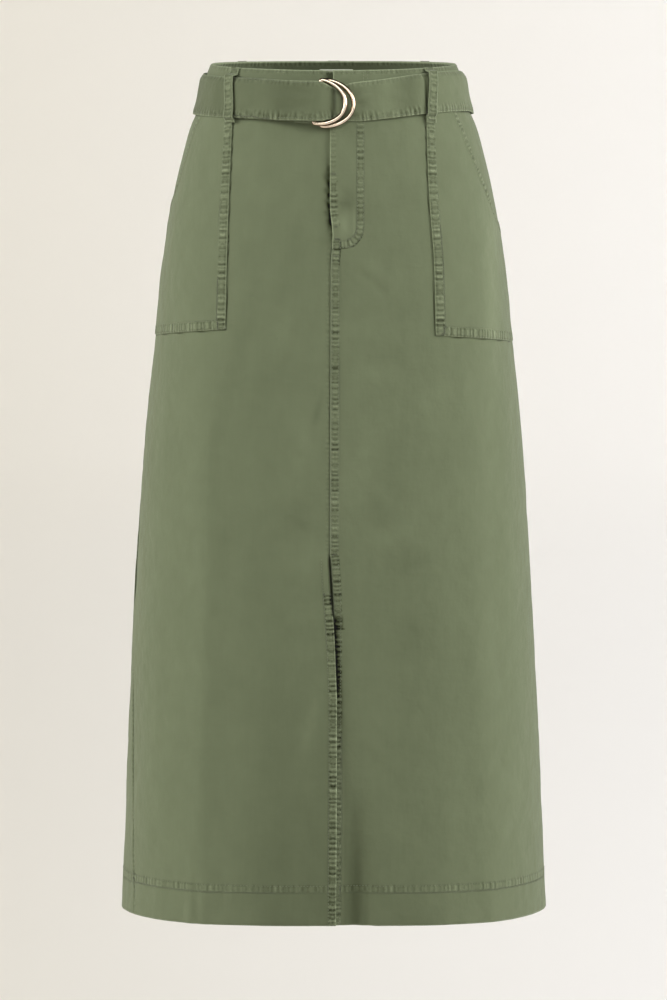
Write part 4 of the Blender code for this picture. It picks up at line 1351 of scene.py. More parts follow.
class SKIRT_PG_studio(bpy.types.PropertyGroup):
    """The stage and its lights."""

    # The floor and backdrop are painted from the left colour to the right one across the view: painted
    # shade at the left, painted light at the right
    backdrop_shaded_left: FloatVectorProperty(
        name="Backdrop, left", description="Colour of the floor and the backdrop at the left",
        subtype="COLOR", size=3, min=0.0, max=1.0, default=(0.828, 0.800, 0.735))
    backdrop_lit_right: FloatVectorProperty(
        name="Backdrop, right", description="Colour of the floor and the backdrop at the right",
        subtype="COLOR", size=3, min=0.0, max=1.0, default=(0.980, 0.967, 0.952))
    floor_drop: FloatProperty(
        name="Floor", description="Height of the floor", subtype="DISTANCE", unit="LENGTH",
        default=-1.25)
    ambient: FloatProperty(
        name="Surround light", description="Brightness of the light from all round",
        min=0.0, max=5.0, default=0.02)
    left_light: FloatProperty(
        name="Left light", description="Strength of the large light at the left",
        min=0.0, max=20.0, default=4.0)
    right_light: FloatProperty(
        name="Right light", description="Strength of the large light at the right",
        min=0.0, max=20.0, default=4.32)
    front_light: FloatProperty(
        name="Front light", description="Power of the soft light above the camera",
        subtype="POWER", unit="POWER", min=0.0, max=500.0, default=42.0)


# ---------------------------------------------------------------- operators


# The camera's distance from the waist, and how far its view falls over that distance
CAMERA_DISTANCE = 6.5
CAMERA_LOOKS_DOWN = 0.5664
# Where the front light stands, and where it points
FRONT_LIGHT_AT = (0.0, -2.6, 1.5)
SKIRT_MIDDLE = (0.0, 0.0, -0.30)


class SKIRT_OT_stage(bpy.types.Operator):
    """Make the camera, the floor with its curved backdrop, and the lights"""

    bl_idname = "skirt.stage"
    bl_label = "Stage"

    def execute(self, context):
        look = context.scene.skirt_studio
        scene = context.scene
        scene.view_settings.view_transform = "Standard"
        lens = bpy.data.cameras.new("camera")
        lens.lens, lens.sensor_width, lens.sensor_fit = 234.72, 36.0, "AUTO"
        lens.clip_end = 60.0
        camera = linked("camera", lens)
        camera.location = (0.0, -CAMERA_DISTANCE, 0.130)
        camera.rotation_euler = (math.atan2(CAMERA_DISTANCE, CAMERA_LOOKS_DOWN), 0.0, 0.0)
        scene.camera = camera
        self.backdrop(look)
        for side, strength in ((-1, look.left_light), (1, look.right_light)):
            self.lamp("light_" + SIDES[side], "SUN", (side * 0.925, -0.163, 0.342), strength,
                      (1.0, 0.985, 0.96))
        front = self.lamp("light_front", "AREA", FRONT_LIGHT_AT, look.front_light,
                          (1.0, 0.98, 0.95))
        front.data.shape, front.data.size, front.data.size_y = "RECTANGLE", 1.8, 1.2
        world = bpy.data.worlds.new("studio")
        scene.world = world
        world.use_nodes = True
        background = world.node_tree.nodes["Background"]
        background.inputs["Color"].default_value = (1.0, 0.985, 0.955, 1.0)
        background.inputs["Strength"].default_value = look.ambient
        return {"FINISHED"}

    def lamp(self, name, kind, towards, strength, colour):
        """A light that shines from a place or direction at the skirt's middle."""
        data = bpy.data.lights.new(name, kind)
        data.energy, data.color = strength, colour
        lamp = linked(name, data)
        lamp.location = towards
        aim = np.array(SKIRT_MIDDLE) - np.array(lamp.location)
        if kind == "SUN":
            data.angle = math.radians(42.0)
            lamp.location = np.array(towards) * 4.0
            aim = -np.array(towards)
        flat = math.hypot(aim[0], aim[1])
        lamp.rotation_euler = (math.atan2(flat, -aim[2]), 0.0, math.atan2(-aim[0], aim[1]))
        return lamp

    def backdrop(self, look):
        """A round floor that curves up at its rim: a profile turned about the upright axis."""
        floor_reach, curve = 9.5, 2.5
        bend = np.linspace(0.0, 0.5 * math.pi, 24)[1:]
        reach = np.concatenate([[0.0], np.linspace(0.5, floor_reach, 19),
                                floor_reach + curve * np.sin(bend)])
        height = np.concatenate([np.zeros(20), curve * (1.0 - np.cos(bend))]) + look.floor_drop
        sides = 96
        turn = np.linspace(0.0, 2.0 * math.pi, sides, endpoint=False)
        rings = np.stack([reach[1:, None] * np.cos(turn), reach[1:, None] * np.sin(turn),
                          np.broadcast_to(height[1:, None], (len(reach) - 1, sides))], axis=-1)
        vertices = np.concatenate([[[0.0, 0.0, height[0]]], rings.reshape(-1, 3)])
        index = 1 + np.arange((len(reach) - 1) * sides).reshape(-1, sides)
        after = np.roll(index, -1, 1)
        quads = np.stack([index[:-1], index[1:], after[1:], after[:-1]], axis=-1).reshape(-1, 4)
        middle = np.stack([np.zeros(sides, int), index[0], after[0]], axis=-1)
        mesh = plain_mesh("backdrop", vertices, quads.tolist() + middle.tolist())
        made = Finish("backdrop_paint")
        place_at = made.add("TexCoord", output=3)
        tone = made.noise(made.grid(place_at, 0.6, 0.6), detail=2.0)
        # The paint runs with x over the distance from the camera: painted shade to the left, painted
        # light to the right
        apart = made.add("SeparateXYZ", inputs=[(0, place_at)])
        depth = made.math("MAXIMUM", made.math("ADD", apart.node.outputs[1], CAMERA_DISTANCE), 3.0)
        level = made.add("MapRange", inputs=[
            (0, made.total(made.math("DIVIDE", apart, depth), made.scaled(tone, 0.004))),
            (1, -0.052), (2, 0.052)])
        colour = made.mix(level, rgba(look.backdrop_shaded_left), rgba(look.backdrop_lit_right))
        made.fill(made.shader, [("Base Color", colour), ("Roughness", 0.9),
                                ("Specular IOR Level", 0.1)])
        mesh.materials.append(made.material)
        backdrop = linked("backdrop", mesh)


# The columns of a front panel where its spacing changes, and the shares of its width there: they lie
# closer near the centre edge and the side seam
FRONT_COLUMNS = ((0, 43, 110, 117), (0.0, 0.16, 0.97, 1.0))

# Painted light and shade on the wrinkles beside the fly: x, drop, half width, half height, tone
FLY_PAINTED_SHADING = (
    (0.0095, 0.1580, 0.0050, 0.0110, 0.50),
    (0.0202, 0.1560, 0.0011, 0.0140, 0.45),
    (0.0135, 0.1345, 0.0085, 0.0085, -0.50),
)

# A painted highlight on the crest over the right pocket: x, drop, half width, half height
POCKET_PAINTED_HIGHLIGHT = (0.1570, 0.2400, 0.0080, 0.1700)


class SKIRT_OT_front(bpy.types.Operator):
    """Make the two front panels, with the fly, the centre seam, the slit and the hem"""

    bl_idname = "skirt.front"
    bl_label = "Front panels"

    def execute(self, context):
        levels = (FLY_END, FLY_TACK_FOOT, SLIT_TOP, FACING_FOOT, HEM_STITCH)
        for side, word in SIDES.items():
            drop = fine_drops(PANEL_TOP, HEM_DROP, 292, levels)[:, None]
            centre = front_angle(centre_edge(side, drop), drop)
            seam = seam_angle(side_angle(side, drop), drop, -side)
            columns, shares = FRONT_COLUMNS
            angle = centre + (seam - centre) * np.interp(np.arange(118), columns, shares)
            if side < 0:
                angle = angle[:, ::-1]
            drop = np.broadcast_to(drop, angle.shape)
            points = layer(angle, drop, front_stand(side, angle, drop))
            x = form_x(angle, drop)
            own_painted_shading = self.left_painted_shading if side < 0 else self.right_painted_shading
            cloth("front_" + word, points, flat_pattern(angle, drop), PANEL_WALL, twill(),
                  front_seams(side), (SIDES[-side], "bottom"),
                  shade=self.painted_shading(x, drop) + own_painted_shading(x, drop))
        return {"FINISHED"}

    def painted_shading(self, x, drop):
        """Painted shade and light on both panels: deeper towards the hem, and soft slanted spots on
        folds.
        """
        spots = sum(tone * spot(x + 0.25 * (drop - at[1]), drop, *at) for *at, tone in FRONT_PAINTED_SHADING)
        return lower_shade(x, drop) + spots * (1.0 + 0.5 * soft_noise(x, drop, 0.009, 64))

    def right_painted_shading(self, x, drop):
        """The right panel's own painted light and shade: the spots on the wrinkles beside the fly and
        the painted highlight on the crest over the pocket. Painted shade lies in the fold beside the
        slit, just above the facing's foot, in the slit's narrow opening and next to the left panel's
        edge below it, and painted light next to that edge near the hem."""
        lap = x - centre_edge(-1, drop)
        fold = ease(drop, 0.67, 0.80) * stripe(x, 0.0215, 0.0085)
        foot = band(drop, 0.5383, FACING_FOOT, 0.0012) * (1.0 - ease(x, 0.0085, 0.0100))
        opening = 1.0 - ease(x - centre_edge(1, drop), 0.0, 0.0006)
        opening = opening * band(drop, 0.4800, 0.5400, 0.003)
        edge = band(drop, 0.542, 0.618, 0.010) * stripe(lap, 0.0006, 0.0024)
        covered = band(drop, 0.545, 0.650, 0.020) * (1.0 - ease(lap, 0.0040, 0.0075))
        light = ease(drop, 0.66, 0.72) * (1.0 - ease(lap, 0.004, 0.009))
        fly = sum(tone * spot(x, drop, *at) for *at, tone in FLY_PAINTED_SHADING)
        return (fly + 0.12 * spot(x, drop, *POCKET_PAINTED_HIGHLIGHT) + 0.55 * light - 0.64 * fold
                - 1.1 * foot - 3.0 * opening - 1.9 * edge - 0.6 * covered)

    def left_painted_shading(self, x, drop):
        """The left panel's own painted shade: a ragged painted shadow along the fly's edge, and painted
        shade in the slit's narrow opening and along its own edge below that."""
        ragged = 0.8 + 0.5 * soft_noise(x, drop, 0.0030, 61) + 0.2 * soft_noise(x, drop, 0.009, 62)
        reach = 0.0038 + 0.0014 * soft_noise(drop, 0.0, 0.0036, 63)
        fly = ragged * band(drop, 0.100, 0.164, 0.016) * stripe(x, centre_edge(1, drop), reach)
        inside = centre_edge(-1, drop) - x
        opening = band(drop, 0.4790, 0.5390, 0.004) * (1.0 - ease(inside, 0.0007, 0.0014))
        edge = band(drop, 0.542, 0.600, 0.012) * (1.0 - ease(inside, 0.0008, 0.0020))
        return -3.1 * fly - 4.0 * opening - 0.9 * edge


class SKIRT_OT_back(bpy.types.Operator):
    """Make the back, which has no seam of its own"""

    bl_idname = "skirt.back"
    bl_label = "Back"

    def execute(self, context):
        drop = fine_drops(PANEL_TOP, HEM_DROP, 200, (HEM_STITCH,))[:, None]
        start = seam_angle(side_angle(1, drop), drop, 1)
        end = seam_angle(side_angle(-1, drop), drop, -1) + 2.0 * math.pi
        angle = start + (end - start) * np.linspace(0.0, 1.0, 150)
        drop = np.broadcast_to(drop, angle.shape)
        points = layer(angle, drop, back_stand(angle, drop))
        cloth("back", points, flat_pattern(angle, drop), PANEL_WALL, twill(), back_seams(),
              ("bottom",))
        return {"FINISHED"}


class SKIRT_OT_pockets(bpy.types.Operator):
    """Make the two patch pockets"""

    bl_idname = "skirt.pockets"
    bl_label = "Pockets"

    def execute(self, context):
        free = ("left", "right", "bottom")
        for side, word in SIDES.items():
            table = np.array(POCKET_ROWS[side])
            rows = np.concatenate([np.linspace(table[0, 0], table[-1, 0], 170), table[1:-1, 0]])
            inner_drop = np.sort(rows)[:, None]
            inner_x, outer, outer_drop = (straight_table(table, k, inner_drop) for k in (1, 2, 3))
            share = np.linspace(0.0, 1.0, 80)[None, :]
            drop = inner_drop + (outer_drop - inner_drop) * share
            inner = front_angle(inner_x, inner_drop)
            angle = side * (inner + (outer - inner) * share)
            if side < 0:
                angle, drop = angle[:, ::-1], drop[:, ::-1]
            stand = pocket_stand(angle, drop)
            points = layer(angle, drop, stand)
            distance = edge_distance(points, free)
            hem = (0.00035 * band(distance, 0.0005, POCKET_BAND + 0.001, 0.0008)
                   - 0.0005 * (1.0 - ease(distance, 0.0, 0.0022)))
            seams = pocket_seams(side)
            fields = seam_fields(points, seams)
            along = fields["along"]
            turn = along * 2.0 * math.pi / 0.0068 + 2.5 * soft_noise(along, 0.0, 0.02, 7)
            lift = 0.00016 * fields["pucker"] * (1.0 + np.sin(turn))
            points = layer(angle, drop, stand + hem + lift)
            # The pocket also carries the painted highlight on the crest
            cloth("pocket_" + word, points, flat_pattern(angle, drop), PATCH_WALL, twill(), seams,
                  free,
                  shade=0.45 * spot(points[..., 0], drop, *POCKET_PAINTED_HIGHLIGHT))
        return {"FINISHED"}


def waistband_pieces():
    """The waistband's three pieces: where each lies, its two ends as angles, its outer face, its free
    sides and its columns of points."""
    middle = 0.5 * WAISTBAND_DEPTH
    seam = float(seam_angle(0.5 * math.pi, middle, -1))
    left_end, right_start = (float(front_angle(x, middle)) for x in (UNDERLAP_EDGE, OVERLAP_EDGE))
    return (
        ("left", -seam, left_end, underlap_stand, ("top", "right"), 100),
        ("right", right_start, seam, waistband_stand, ("top", "left"), 86),
        ("back", math.pi - seam, math.pi + seam, waistband_stand, ("top",), 150),
    )


class SKIRT_OT_waistband(bpy.types.Operator):
    """Make the waistband's three pieces"""

    bl_idname = "skirt.waistband"
    bl_label = "Waistband"

    def execute(self, context):
        for where, start, end, stand_of, sides, columns in waistband_pieces():
            drop, angle = np.meshgrid(np.linspace(0.0, WAISTBAND_DEPTH, 33),
                                      np.linspace(start, end, columns), indexing="ij")
            stand = stand_of(angle, drop)
            distance = edge_distance(layer(angle, drop, stand), sides)
            points = layer(angle, drop, stand - 0.0004 * (1.0 - ease(distance, 0.0, 0.0016)))
            shade = np.zeros(drop.shape)
            # The left piece: a painted shadow where it steps in under the right one
            if where == "left":
                x = form_x(angle, 0.5 * WAISTBAND_DEPTH)
                shade = -1.1 * ease(x, -0.0130, -0.0040)
            # The back: painted shade near its top, where its inside shows over the front
            if where == "back":
                shade = -0.65 * band(drop, 0.0016, 0.0120, 0.0016) * ease(-np.cos(angle), 0.2, 0.6)
            cloth("waistband_" + where, points, flat_pattern(angle, drop), WAISTBAND_WALL, twill(),
                  waistband_seams(start, end, stand_of), sides,
                  shade=shade)
        return {"FINISHED"}


def belt_rows():
    """The strap's path as distances along it, angles and stands: its free end at the front left,
    once round the skirt, then the ring end under it, a turn round the second bar and the return."""
    free = np.array(BELT_FREE_END)
    ring = np.array(BELT_RING_END)
    start = front_angle(BELT_ZERO_X + free[-1, 0], BELT_MIDDLE_DROP)
    end = front_angle(BELT_ZERO_X + ring[0, 0], BELT_MIDDLE_DROP) + 2.0 * math.pi
    around = np.linspace(start, end, BELT_ROUND_ROWS + 2)[1:-1]
    turn = np.linspace(*BELT_TURN, BELT_TURN_ROWS)
    turned = np.stack([BELT_TURN_X + BELT_TURN_RADIUS * np.cos(turn),
                       RINGS[1][4] + BELT_TURN_RADIUS * np.sin(turn)], axis=-1)
    ends = np.concatenate([ring, turned, np.array(BELT_RETURN)])
    angle = np.concatenate([
        front_angle(BELT_ZERO_X + free[:, 0], BELT_MIDDLE_DROP),
        around,
        front_angle(BELT_ZERO_X + ends[:, 0], BELT_MIDDLE_DROP) + 2.0 * math.pi,
    ])
    stand = np.concatenate([free[:, 1], np.full(len(around), BELT_ROUND_STAND), ends[:, 1]])
    reach = smooth_table(BODY_SECTIONS, 1, BELT_MIDDLE_DROP)
    along = path_lengths(np.stack([angle * reach, stand], axis=-1))
    return np.stack([along, angle, stand], axis=-1)


def belt_face(along, height, lift=0.0):
    """Points of the strap's middle at a distance along its path and a height from -1, its lower
    edge, to 1, its top edge. It gathers and slants where it goes through the rings."""
    rows = belt_rows()
    angle, stand = smooth_table(rows, 1, along), smooth_table(rows, 2, along)
    x = form_x(angle, BELT_MIDDLE_DROP) - BELT_ZERO_X
    front = np.cos(angle) > 0.0
    above, below = smooth_table(BELT_GATHER, 1, x), smooth_table(BELT_GATHER, 2, x)
    gather = np.where(front, np.where(height > 0.0, above, below), 1.0)
    slant = np.where(front, straight_table(BELT_SLANT, 1, x), 0.0)
    side = ease(np.abs(np.sin(angle)), 0.0, BELT_SIDE_SINE)
    rise = height * 0.5 * BELT_WIDTH * gather
    drop = smooth_table(BELT_LEVELS, 1, wrapped(angle)) - rise
    shift = slant * rise / smooth_table(BODY_SECTIONS, 1, BELT_MIDDLE_DROP)
    creased = np.where(front, crease_height(x, rise, BELT_CREASES), 0.0)
    creased = creased + 0.00025 * soft_noise(along, height * 0.02, 0.011, 41)
    creased = creased + 0.00030 * soft_noise(along + 0.3 * rise, rise, 0.024, 42)
    tuck = 0.0020 * ease(height, 0.70, 1.02) + 0.0012 * ease(-height, 0.76, 1.02)
    stand = stand + side * (BELT_SIDE_STAND + BELT_LEAN * height - tuck) + creased + lift
    return layer(angle + shift, drop, stand)


def belt_normals(along, height):
    """The strap's outward directions, from short steps along and across it."""
    step = 0.0004
    forward = belt_face(along + step, height) - belt_face(along - step, height)
    upward = belt_face(along, height + 0.02) - belt_face(along, height - 0.02)
    return unit(np.cross(forward, upward))


def belt_line(start, end, height):
    """A line along the strap's outer face."""
    along = np.arange(start, end, 0.0015)
    height = np.full(len(along), height)
    normal = belt_normals(along, height)
    return belt_face(along, height) + 0.5 * BELT_WALL * normal, normal


def belt_seams():
    """The sewn lines along the strap's two edges, as far as its turn round the bar."""
    end = belt_rows()[-1, 0] - 0.048
    foot, top = (belt_line(0.001, end, height) for height in (-0.90, 0.90))
    return NO_SEAMS | {"bands": [(foot, 0.8, 0.0008, 0.0085), (top, 0.40, 0.0008, 0.0045)],
                       "rows": [foot, top]}


# Upright stripes of painted shade and light on the belt's front: x from the belt's own zero, half
# width, tone. The last two are the painted shadows beside the belt loops
BELT_PAINTED_SHADING = (
    (0.0125, 0.0024, -0.70),
    (0.0190, 0.0032, 0.65),
    (-0.1020, 0.0120, -0.25),
    (-0.0300, 0.0200, -0.30),
    (0.0642, 0.0070, 0.25),
    (0.0887, 0.0100, -0.40),
    (0.1043, 0.0016, -1.50),
    (-0.0842, 0.0016, -1.00),
)


class SKIRT_OT_belt(bpy.types.Operator):
    """Make the cloth belt, from its free end round the skirt and through the rings"""

    bl_idname = "skirt.belt"
    bl_label = "Belt"

    def execute(self, context):
        total = belt_rows()[-1, 0]
        along = np.concatenate([np.arange(0.0, total - 0.05, 0.0016),
                                np.linspace(total - 0.05, total, 60)])
        height = np.linspace(1.0, -1.0, 36)[:, None]
        along, height = np.broadcast_arrays(along[None, :], height)
        seams = belt_seams()
        points = belt_face(along, height)
        fields = seam_fields(points, seams)
        band_in = ease(np.abs(height), 0.70, 0.84)
        ripple = np.sin(along * 2.0 * math.pi / 0.0066 + 5.0 * soft_noise(along, height, 0.014, 5))
        lift = 0.00006 * band_in * ripple * (fields["pucker"] > 0.0)
        points = belt_face(along, height, lift)
        uv = np.stack([along, 0.5 * BELT_WIDTH * height], axis=-1)
        x = points[..., 0] - BELT_ZERO_X
        # Painted shade over the belt's front left and its far left end, where it turns away, with the
        # stripes of painted shade and light, all fading out behind the sides
        shade = -0.35 * (1.0 - ease(x, 0.010, 0.040)) - 0.45 * (1.0 - ease(x, -0.128, -0.108))
        shade += sum(tone * stripe(x, at_x, half_width) for at_x, half_width, tone in BELT_PAINTED_SHADING)
        shade *= 1.0 - ease(points[..., 1], 0.0, 0.045)
        cloth("belt", points, uv, BELT_WALL, twill(), seams, ("top", "bottom", "left"),
              shade=shade, inwards=False)
        return {"FINISHED"}


def loop_face(row, down, across):
    """Points of a belt loop's outer face, at a share of its length and a distance across it. It is
    sewn flat at both ends and bends out over the strap's edges."""
    _, _, top_angle, bottom_angle, strap_stand, end_stand = row
    level = float(smooth_table(BELT_LEVELS, 1, bottom_angle))
    above, below = level - 0.5 * BELT_WIDTH, level + 0.5 * BELT_WIDTH
    over = strap_stand + LAYER_GAP + LOOP_WALL + LAYER_GAP
    over += BELT_SIDE_STAND * float(ease(abs(math.sin(bottom_angle)), 0.0, BELT_SIDE_SINE))
    drops = np.array([LOOP_TOP, above - LOOP_CLEAR - LOOP_BEND, above - LOOP_CLEAR, level,
                      below + LOOP_CLEAR, below + LOOP_CLEAR + LOOP_BEND, LOOP_END])
    stands = np.array([LOOP_TOP_STAND, LOOP_TOP_STAND + LAYER_GAP, over + BELT_LEAN, over,
                       over, end_stand + LAYER_GAP, end_stand])
    fine = np.linspace(LOOP_TOP, LOOP_END, 400)
    soft = np.convolve(np.pad(np.interp(fine, drops, stands), 7, "edge"), np.ones(15) / 15.0,
                       "valid")
    drop = LOOP_TOP + (LOOP_END - LOOP_TOP) * down
    stand = np.interp(drop, fine, soft)
    angle = top_angle + (bottom_angle - top_angle) * down
    rightward = unit(form_point(angle + 0.01, drop) - form_point(angle - 0.01, drop))
    return layer(angle, drop, stand) + across[..., None] * rightward, form_normal(angle, drop)


def loop_seams(row):
    """A belt loop's puckers, which cross it from side to side, and its two rows of stitches."""
    down = np.linspace(0.03, 0.97, 60)
    left, middle, right = (loop_face(row, down, np.full(60, at)) for at in (-0.0038, 0.0, 0.0038))
    return NO_SEAMS | {"bands": [(middle, 0.9, 0.0036, 0.0012)], "rows": [left, right]}


def bartack(centre, along, across, normal, count, spacing, length):
    """Close stitches side by side: short lines along one direction, set apart along the other."""
    offset = (np.arange(count) - 0.5 * (count - 1)) * spacing
    reach = np.array([-0.5, -0.17, 0.17, 0.5])[:, None] * length
    return [(centre + across * step + along * reach, np.broadcast_to(normal, (4, 3)))
            for step in offset]


def loop_tacks(row):
    """The close stitches at both ends of a belt loop."""
    tacks = []
    for down in (0.055, 0.945):
        centre, normal = loop_face(row, np.array(down), np.array(0.0))
        beside, _ = loop_face(row, np.array(down), np.array(0.001))
        across = (beside - centre) / 0.001
        tacks += bartack(centre, np.cross(across, normal), across, normal, 17, 0.00052, 0.0020)
    return tacks


class SKIRT_OT_loops(bpy.types.Operator):
    """Make the five belt loops"""

    bl_idname = "skirt.loops"
    bl_label = "Belt loops"

    def execute(self, context):
        for row in BELT_LOOPS:
            down = np.linspace(0.0, 1.0, 78)[:, None]
            across = np.linspace(-0.5, 0.5, 17)[None, :] * LOOP_WIDTH
            down, across = np.broadcast_arrays(down, across)
            points, normal = loop_face(row, down, across)
            inset = 0.5 * LOOP_WIDTH - np.abs(across)
            rise = (0.00025 * band(inset, 0.0006, 0.0026, 0.0006)
                    - 0.0003 * (1.0 - ease(inset, 0.0, 0.0009)))
            ripple = np.sin(down * LOOP_END * 2.0 * math.pi / 0.0058)
            rise = rise + 0.00012 * ripple * ease(np.abs(across), 0.002, 0.004)
            points = points + normal * rise[..., None]
            uv = np.stack([across, -down * (LOOP_END - LOOP_TOP)], axis=-1)
            name, waistband, *_ = row
            cloth(name, points, uv, LOOP_WALL, twill(), loop_seams(row), ("left", "right"))
        return {"FINISHED"}


class SKIRT_OT_rings(bpy.types.Operator):
    """Make the two D-rings of pale gold wire"""

    bl_idname = "skirt.rings"
    bl_label = "D-rings"

    def execute(self, context):
        look = context.scene.skirt_metal
        gold = metal_finish("pale_gold_plating", look.ring_colour, look.ring_roughness,
                            look.ring_dark_reflection_colour)
        for name, *shape in RINGS:
            place(name + "_wire", plain_mesh(name + "_wire", *self.wire(*shape)), gold, name)
        return {"FINISHED"}

    def wire(self, bar, drop, tilt, stand, arc_reach, half_height):
        """A D in a plane that stands off the form: a straight bar, two round corners and half an
        ellipse, with a round wire along it. The tilt leans its bar to the right at the top."""
        arc_end = math.acos(RING_CORNER / arc_reach)
        turn = np.linspace(-arc_end, arc_end, 96)
        top = half_height * math.sin(arc_end)
        corner = np.linspace(0.5 * math.pi, math.pi, 10)[1:]
        corner_x = RING_CORNER + RING_CORNER * np.cos(corner)
        corner_y = top - RING_CORNER + RING_CORNER * np.sin(corner)
        straight = np.linspace(corner_y[-1], -corner_y[-1], 24)[1:-1]
        reach = np.concatenate([arc_reach * np.cos(turn), corner_x, np.zeros(22), corner_x[::-1]])
        height = np.concatenate([half_height * np.sin(turn), corner_y, straight,
                                 -corner_y[::-1]])
        angle = front_angle(BELT_ZERO_X + bar, drop)
        up = unit(form_point(angle, drop - 0.001) - form_point(angle, drop + 0.001))
        right = np.cross(up, form_normal(angle, drop))
        lean = math.radians(tilt)
        across = reach * math.cos(lean) + height * math.sin(lean)
        upward = height * math.cos(lean) - reach * math.sin(lean)
        points = layer(angle, drop, stand) + across[:, None] * right + upward[:, None] * up
        return tube(points, 0.5 * RING_WIRE, 22)


class SKIRT_OT_fastening(bpy.types.Operator):
    """Make the zip tape with its teeth behind the fly, and finish the hook"""

    bl_idname = "skirt.fastening"
    bl_label = "Zip and hook"

    def execute(self, context):
        metal = context.scene.skirt_metal
        nickel = metal_finish("plain_nickel", metal.hook_colour, metal.hook_roughness, brushed=True)
        for hook_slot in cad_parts["waist_hook"].material_slots:
            hook_slot.material = nickel
        sides = front_angle(np.array(ZIP_SIDES), ZIP_DROPS[0])
        drop, angle = np.meshgrid(np.linspace(*ZIP_DROPS, 86), np.linspace(*sides, 20),
                                  indexing="ij")
        across = girth(angle, drop)
        middle = float(girth(sides.mean(), ZIP_DROPS[0]))
        stand = -ZIP_SINK - 0.0002 * np.exp(-(((across - middle) / 0.0016) ** 2))
        points = layer(angle, drop, stand)
        uv = np.stack([across, -drop], axis=-1)
        tape = ribbon_finish("zip_tape_weave", (0.115, 0.135, 0.080), 0.0009, 0.72)
        cloth("fly_zip", points, uv, ZIP_WALL, tape, NO_SEAMS, ("left", "right"))
        self.teeth(sides.mean(), nickel)
        return {"FINISHED"}

    def teeth(self, angle, nickel):
        """A row of teeth, each a small block with sloped sides, that reach left and right in turn."""
        drop = np.linspace(ZIP_DROPS[0] + 0.004, ZIP_DROPS[1] - 0.004, ZIP_TEETH)
        centre = layer(np.full(ZIP_TEETH, angle), drop, np.full(ZIP_TEETH, -ZIP_SINK + 0.0001))
        normal = form_normal(np.full(ZIP_TEETH, angle), drop)
        down = unit(np.gradient(centre, axis=0))
        across = np.cross(down, normal)
        lean = np.where(np.arange(ZIP_TEETH) % 2, 1.0, -1.0)[:, None]
        block = np.array([(x, y, z) for z in (0.0, 1.0) for y in (-1.0, 1.0) for x in (-1.0, 1.0)])
        wide = 0.0017 * (1.0 - 0.25 * block[:, 2]) * block[:, 0]
        tall = 0.0008 * (1.0 - 0.30 * block[:, 2]) * block[:, 1]
        vertices = (centre[:, None] + across[:, None] * (wide[None, :, None] + 0.0009 * lean[:, None])
                    + down[:, None] * tall[:, None] + normal[:, None] * (0.0006 * block[:, 2:]))
        quads = np.array([(0, 2, 3, 1), (4, 5, 7, 6), (0, 1, 5, 4), (2, 6, 7, 3), (0, 4, 6, 2),
                          (1, 3, 7, 5)])
        faces = (np.arange(ZIP_TEETH)[:, None, None] * 8 + quads[None]).reshape(-1, 4)
        mesh = bpy.data.meshes.new("zip_teeth")
        mesh.from_pydata(vertices.reshape(-1, 3), [], faces)
        place("zip_teeth", mesh, nickel)


class SKIRT_OT_label(bpy.types.Operator):
    """Make the blank label inside the back of the waistband"""

    bl_idname = "skirt.label"
    bl_label = "Label"

    def execute(self, context):
        middle = 0.5 * WAISTBAND_DEPTH
        ends = math.pi - front_angle(np.array(LABEL_SIDES), middle)
        drop, angle = np.meshgrid(np.linspace(*LABEL_DROPS, 26), np.linspace(*ends, 30),
                                  indexing="ij")
        inside = WAISTBAND_PROUD - WAISTBAND_WALL - INNER_CLEAR
        uv = np.stack([girth(angle, drop), -drop], axis=-1)
        points = layer(angle, drop, inside - 0.0001
                       + 0.0001 * soft_noise(uv[..., 0], drop, 0.008, 51))
        ribbon = ribbon_finish("label_ribbon", (0.420, 0.450, 0.360), 0.0006, 0.55)
        cloth("inner_label", points, uv, LABEL_WALL, ribbon, NO_SEAMS,
              ("left", "right", "top", "bottom"))
        return {"FINISHED"}


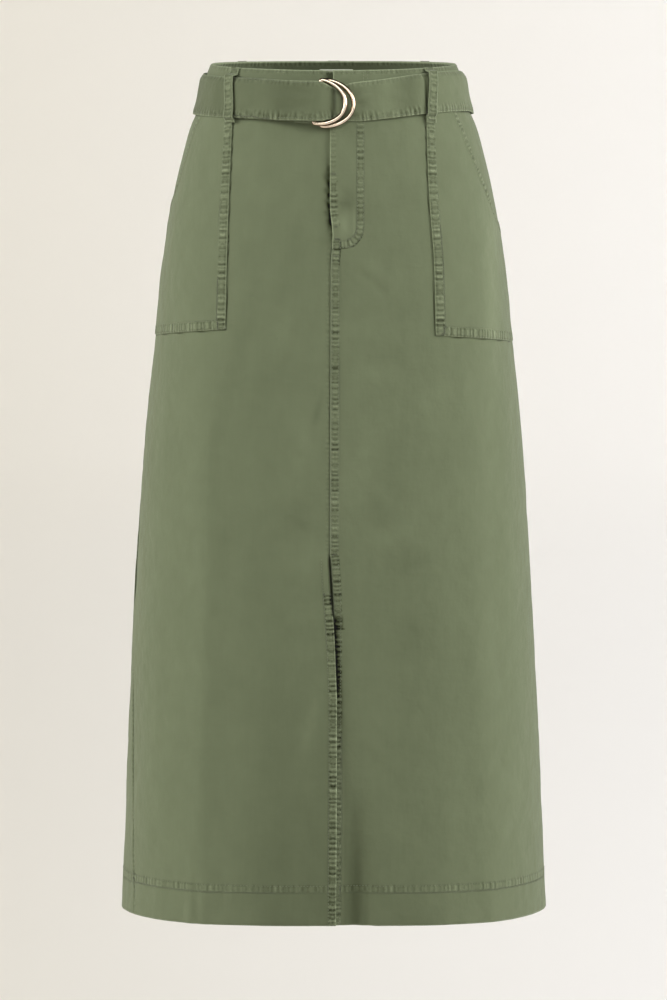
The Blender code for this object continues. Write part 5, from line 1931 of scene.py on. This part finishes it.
class SKIRT_OT_stitching(bpy.types.Operator):
    """Sew the topstitching and the bartacks"""

    bl_idname = "skirt.stitching"
    bl_label = "Stitching"

    def execute(self, context):
        look = context.scene.skirt_cloth
        thread = thread_finish()
        lines = {"front": [], "pockets": [], "waistband": [], "belt": belt_seams()["rows"]}
        for side in SIDES:
            lines["front"] += front_seams(side)["rows"]
            lines["pockets"] += pocket_seams(side)["rows"]
        lines["front"] += back_seams()["rows"] + self.front_tacks()
        for _, start, end, stand_of, *_ in waistband_pieces():
            lines["waistband"] += waistband_seams(start, end, stand_of)["rows"]
        drop = np.linspace(0.0015, WAISTBAND_DEPTH - 0.001, 12)
        for x in (0.0292, 0.0335):
            lines["waistband"].append(on_face(waistband_stand, (front_angle(x, drop), drop)))
        for row in BELT_LOOPS:
            lines["belt"] += loop_seams(row)["rows"] + loop_tacks(row)
        for where, rows in lines.items():
            name = "stitching_" + where
            mesh = plain_mesh(name, *stitches(rows, look.stitch_length, look.thread_width))
            place(name, mesh, thread)
        return {"FINISHED"}

    def front_tacks(self):
        """The close stitches at the foot of the fly and at the top of the slit."""
        tacks = []
        for x, drop in ((0.0024, 0.1860), (0.0018, 0.4915)):
            angle = front_angle(x, drop)
            centre = layer(angle, np.array(drop), front_stand(1, angle, np.array(drop)))
            normal = form_normal(angle, drop)
            across = unit(form_point(angle + 0.001, drop) - form_point(angle - 0.001, drop))
            tacks += bartack(centre, np.cross(across, normal), across, normal, 13, 0.00055, 0.0018)
        return tacks


class SKIRT_PT_panel(bpy.types.Panel):
    """The skirt's pieces and settings"""

    bl_idname = "SKIRT_PT_panel"
    bl_label = "Utility skirt"
    bl_space_type = "VIEW_3D"
    bl_region_type = "UI"
    bl_category = "Skirt"

    def draw(self, context):
        layout = self.layout
        for operator in OPERATORS:
            layout.operator(operator.bl_idname)
        for group in (context.scene.skirt_cloth, context.scene.skirt_metal,
                      context.scene.skirt_studio):
            box = layout.box()
            for key in group.__annotations__:
                box.prop(group, key)


OPERATORS = (SKIRT_OT_stage, SKIRT_OT_front, SKIRT_OT_back, SKIRT_OT_pockets, SKIRT_OT_waistband,
             SKIRT_OT_belt, SKIRT_OT_loops, SKIRT_OT_rings, SKIRT_OT_fastening, SKIRT_OT_label,
             SKIRT_OT_stitching)
GROUPS = (SKIRT_PG_cloth, SKIRT_PG_metal, SKIRT_PG_studio)


def register():
    """Adds the settings, the operators and the panel."""
    for each in (*GROUPS, *OPERATORS, SKIRT_PT_panel):
        bpy.utils.register_class(each)
    bpy.types.Scene.skirt_cloth = PointerProperty(type=SKIRT_PG_cloth)
    bpy.types.Scene.skirt_metal = PointerProperty(type=SKIRT_PG_metal)
    bpy.types.Scene.skirt_studio = PointerProperty(type=SKIRT_PG_studio)


def unregister():
    """Takes them away again."""
    for key in ("skirt_cloth", "skirt_metal", "skirt_studio"):
        delattr(bpy.types.Scene, key)
    for each in reversed((*GROUPS, *OPERATORS, SKIRT_PT_panel)):
        bpy.utils.unregister_class(each)


def main():
    """Makes every piece in order."""
    register()
    bpy.ops.skirt.stage()
    bpy.ops.skirt.front()
    bpy.ops.skirt.back()
    bpy.ops.skirt.pockets()
    bpy.ops.skirt.waistband()
    bpy.ops.skirt.belt()
    bpy.ops.skirt.loops()
    bpy.ops.skirt.rings()
    bpy.ops.skirt.fastening()
    bpy.ops.skirt.label()
    bpy.ops.skirt.stitching()


if __name__ == "__main__":
    main()
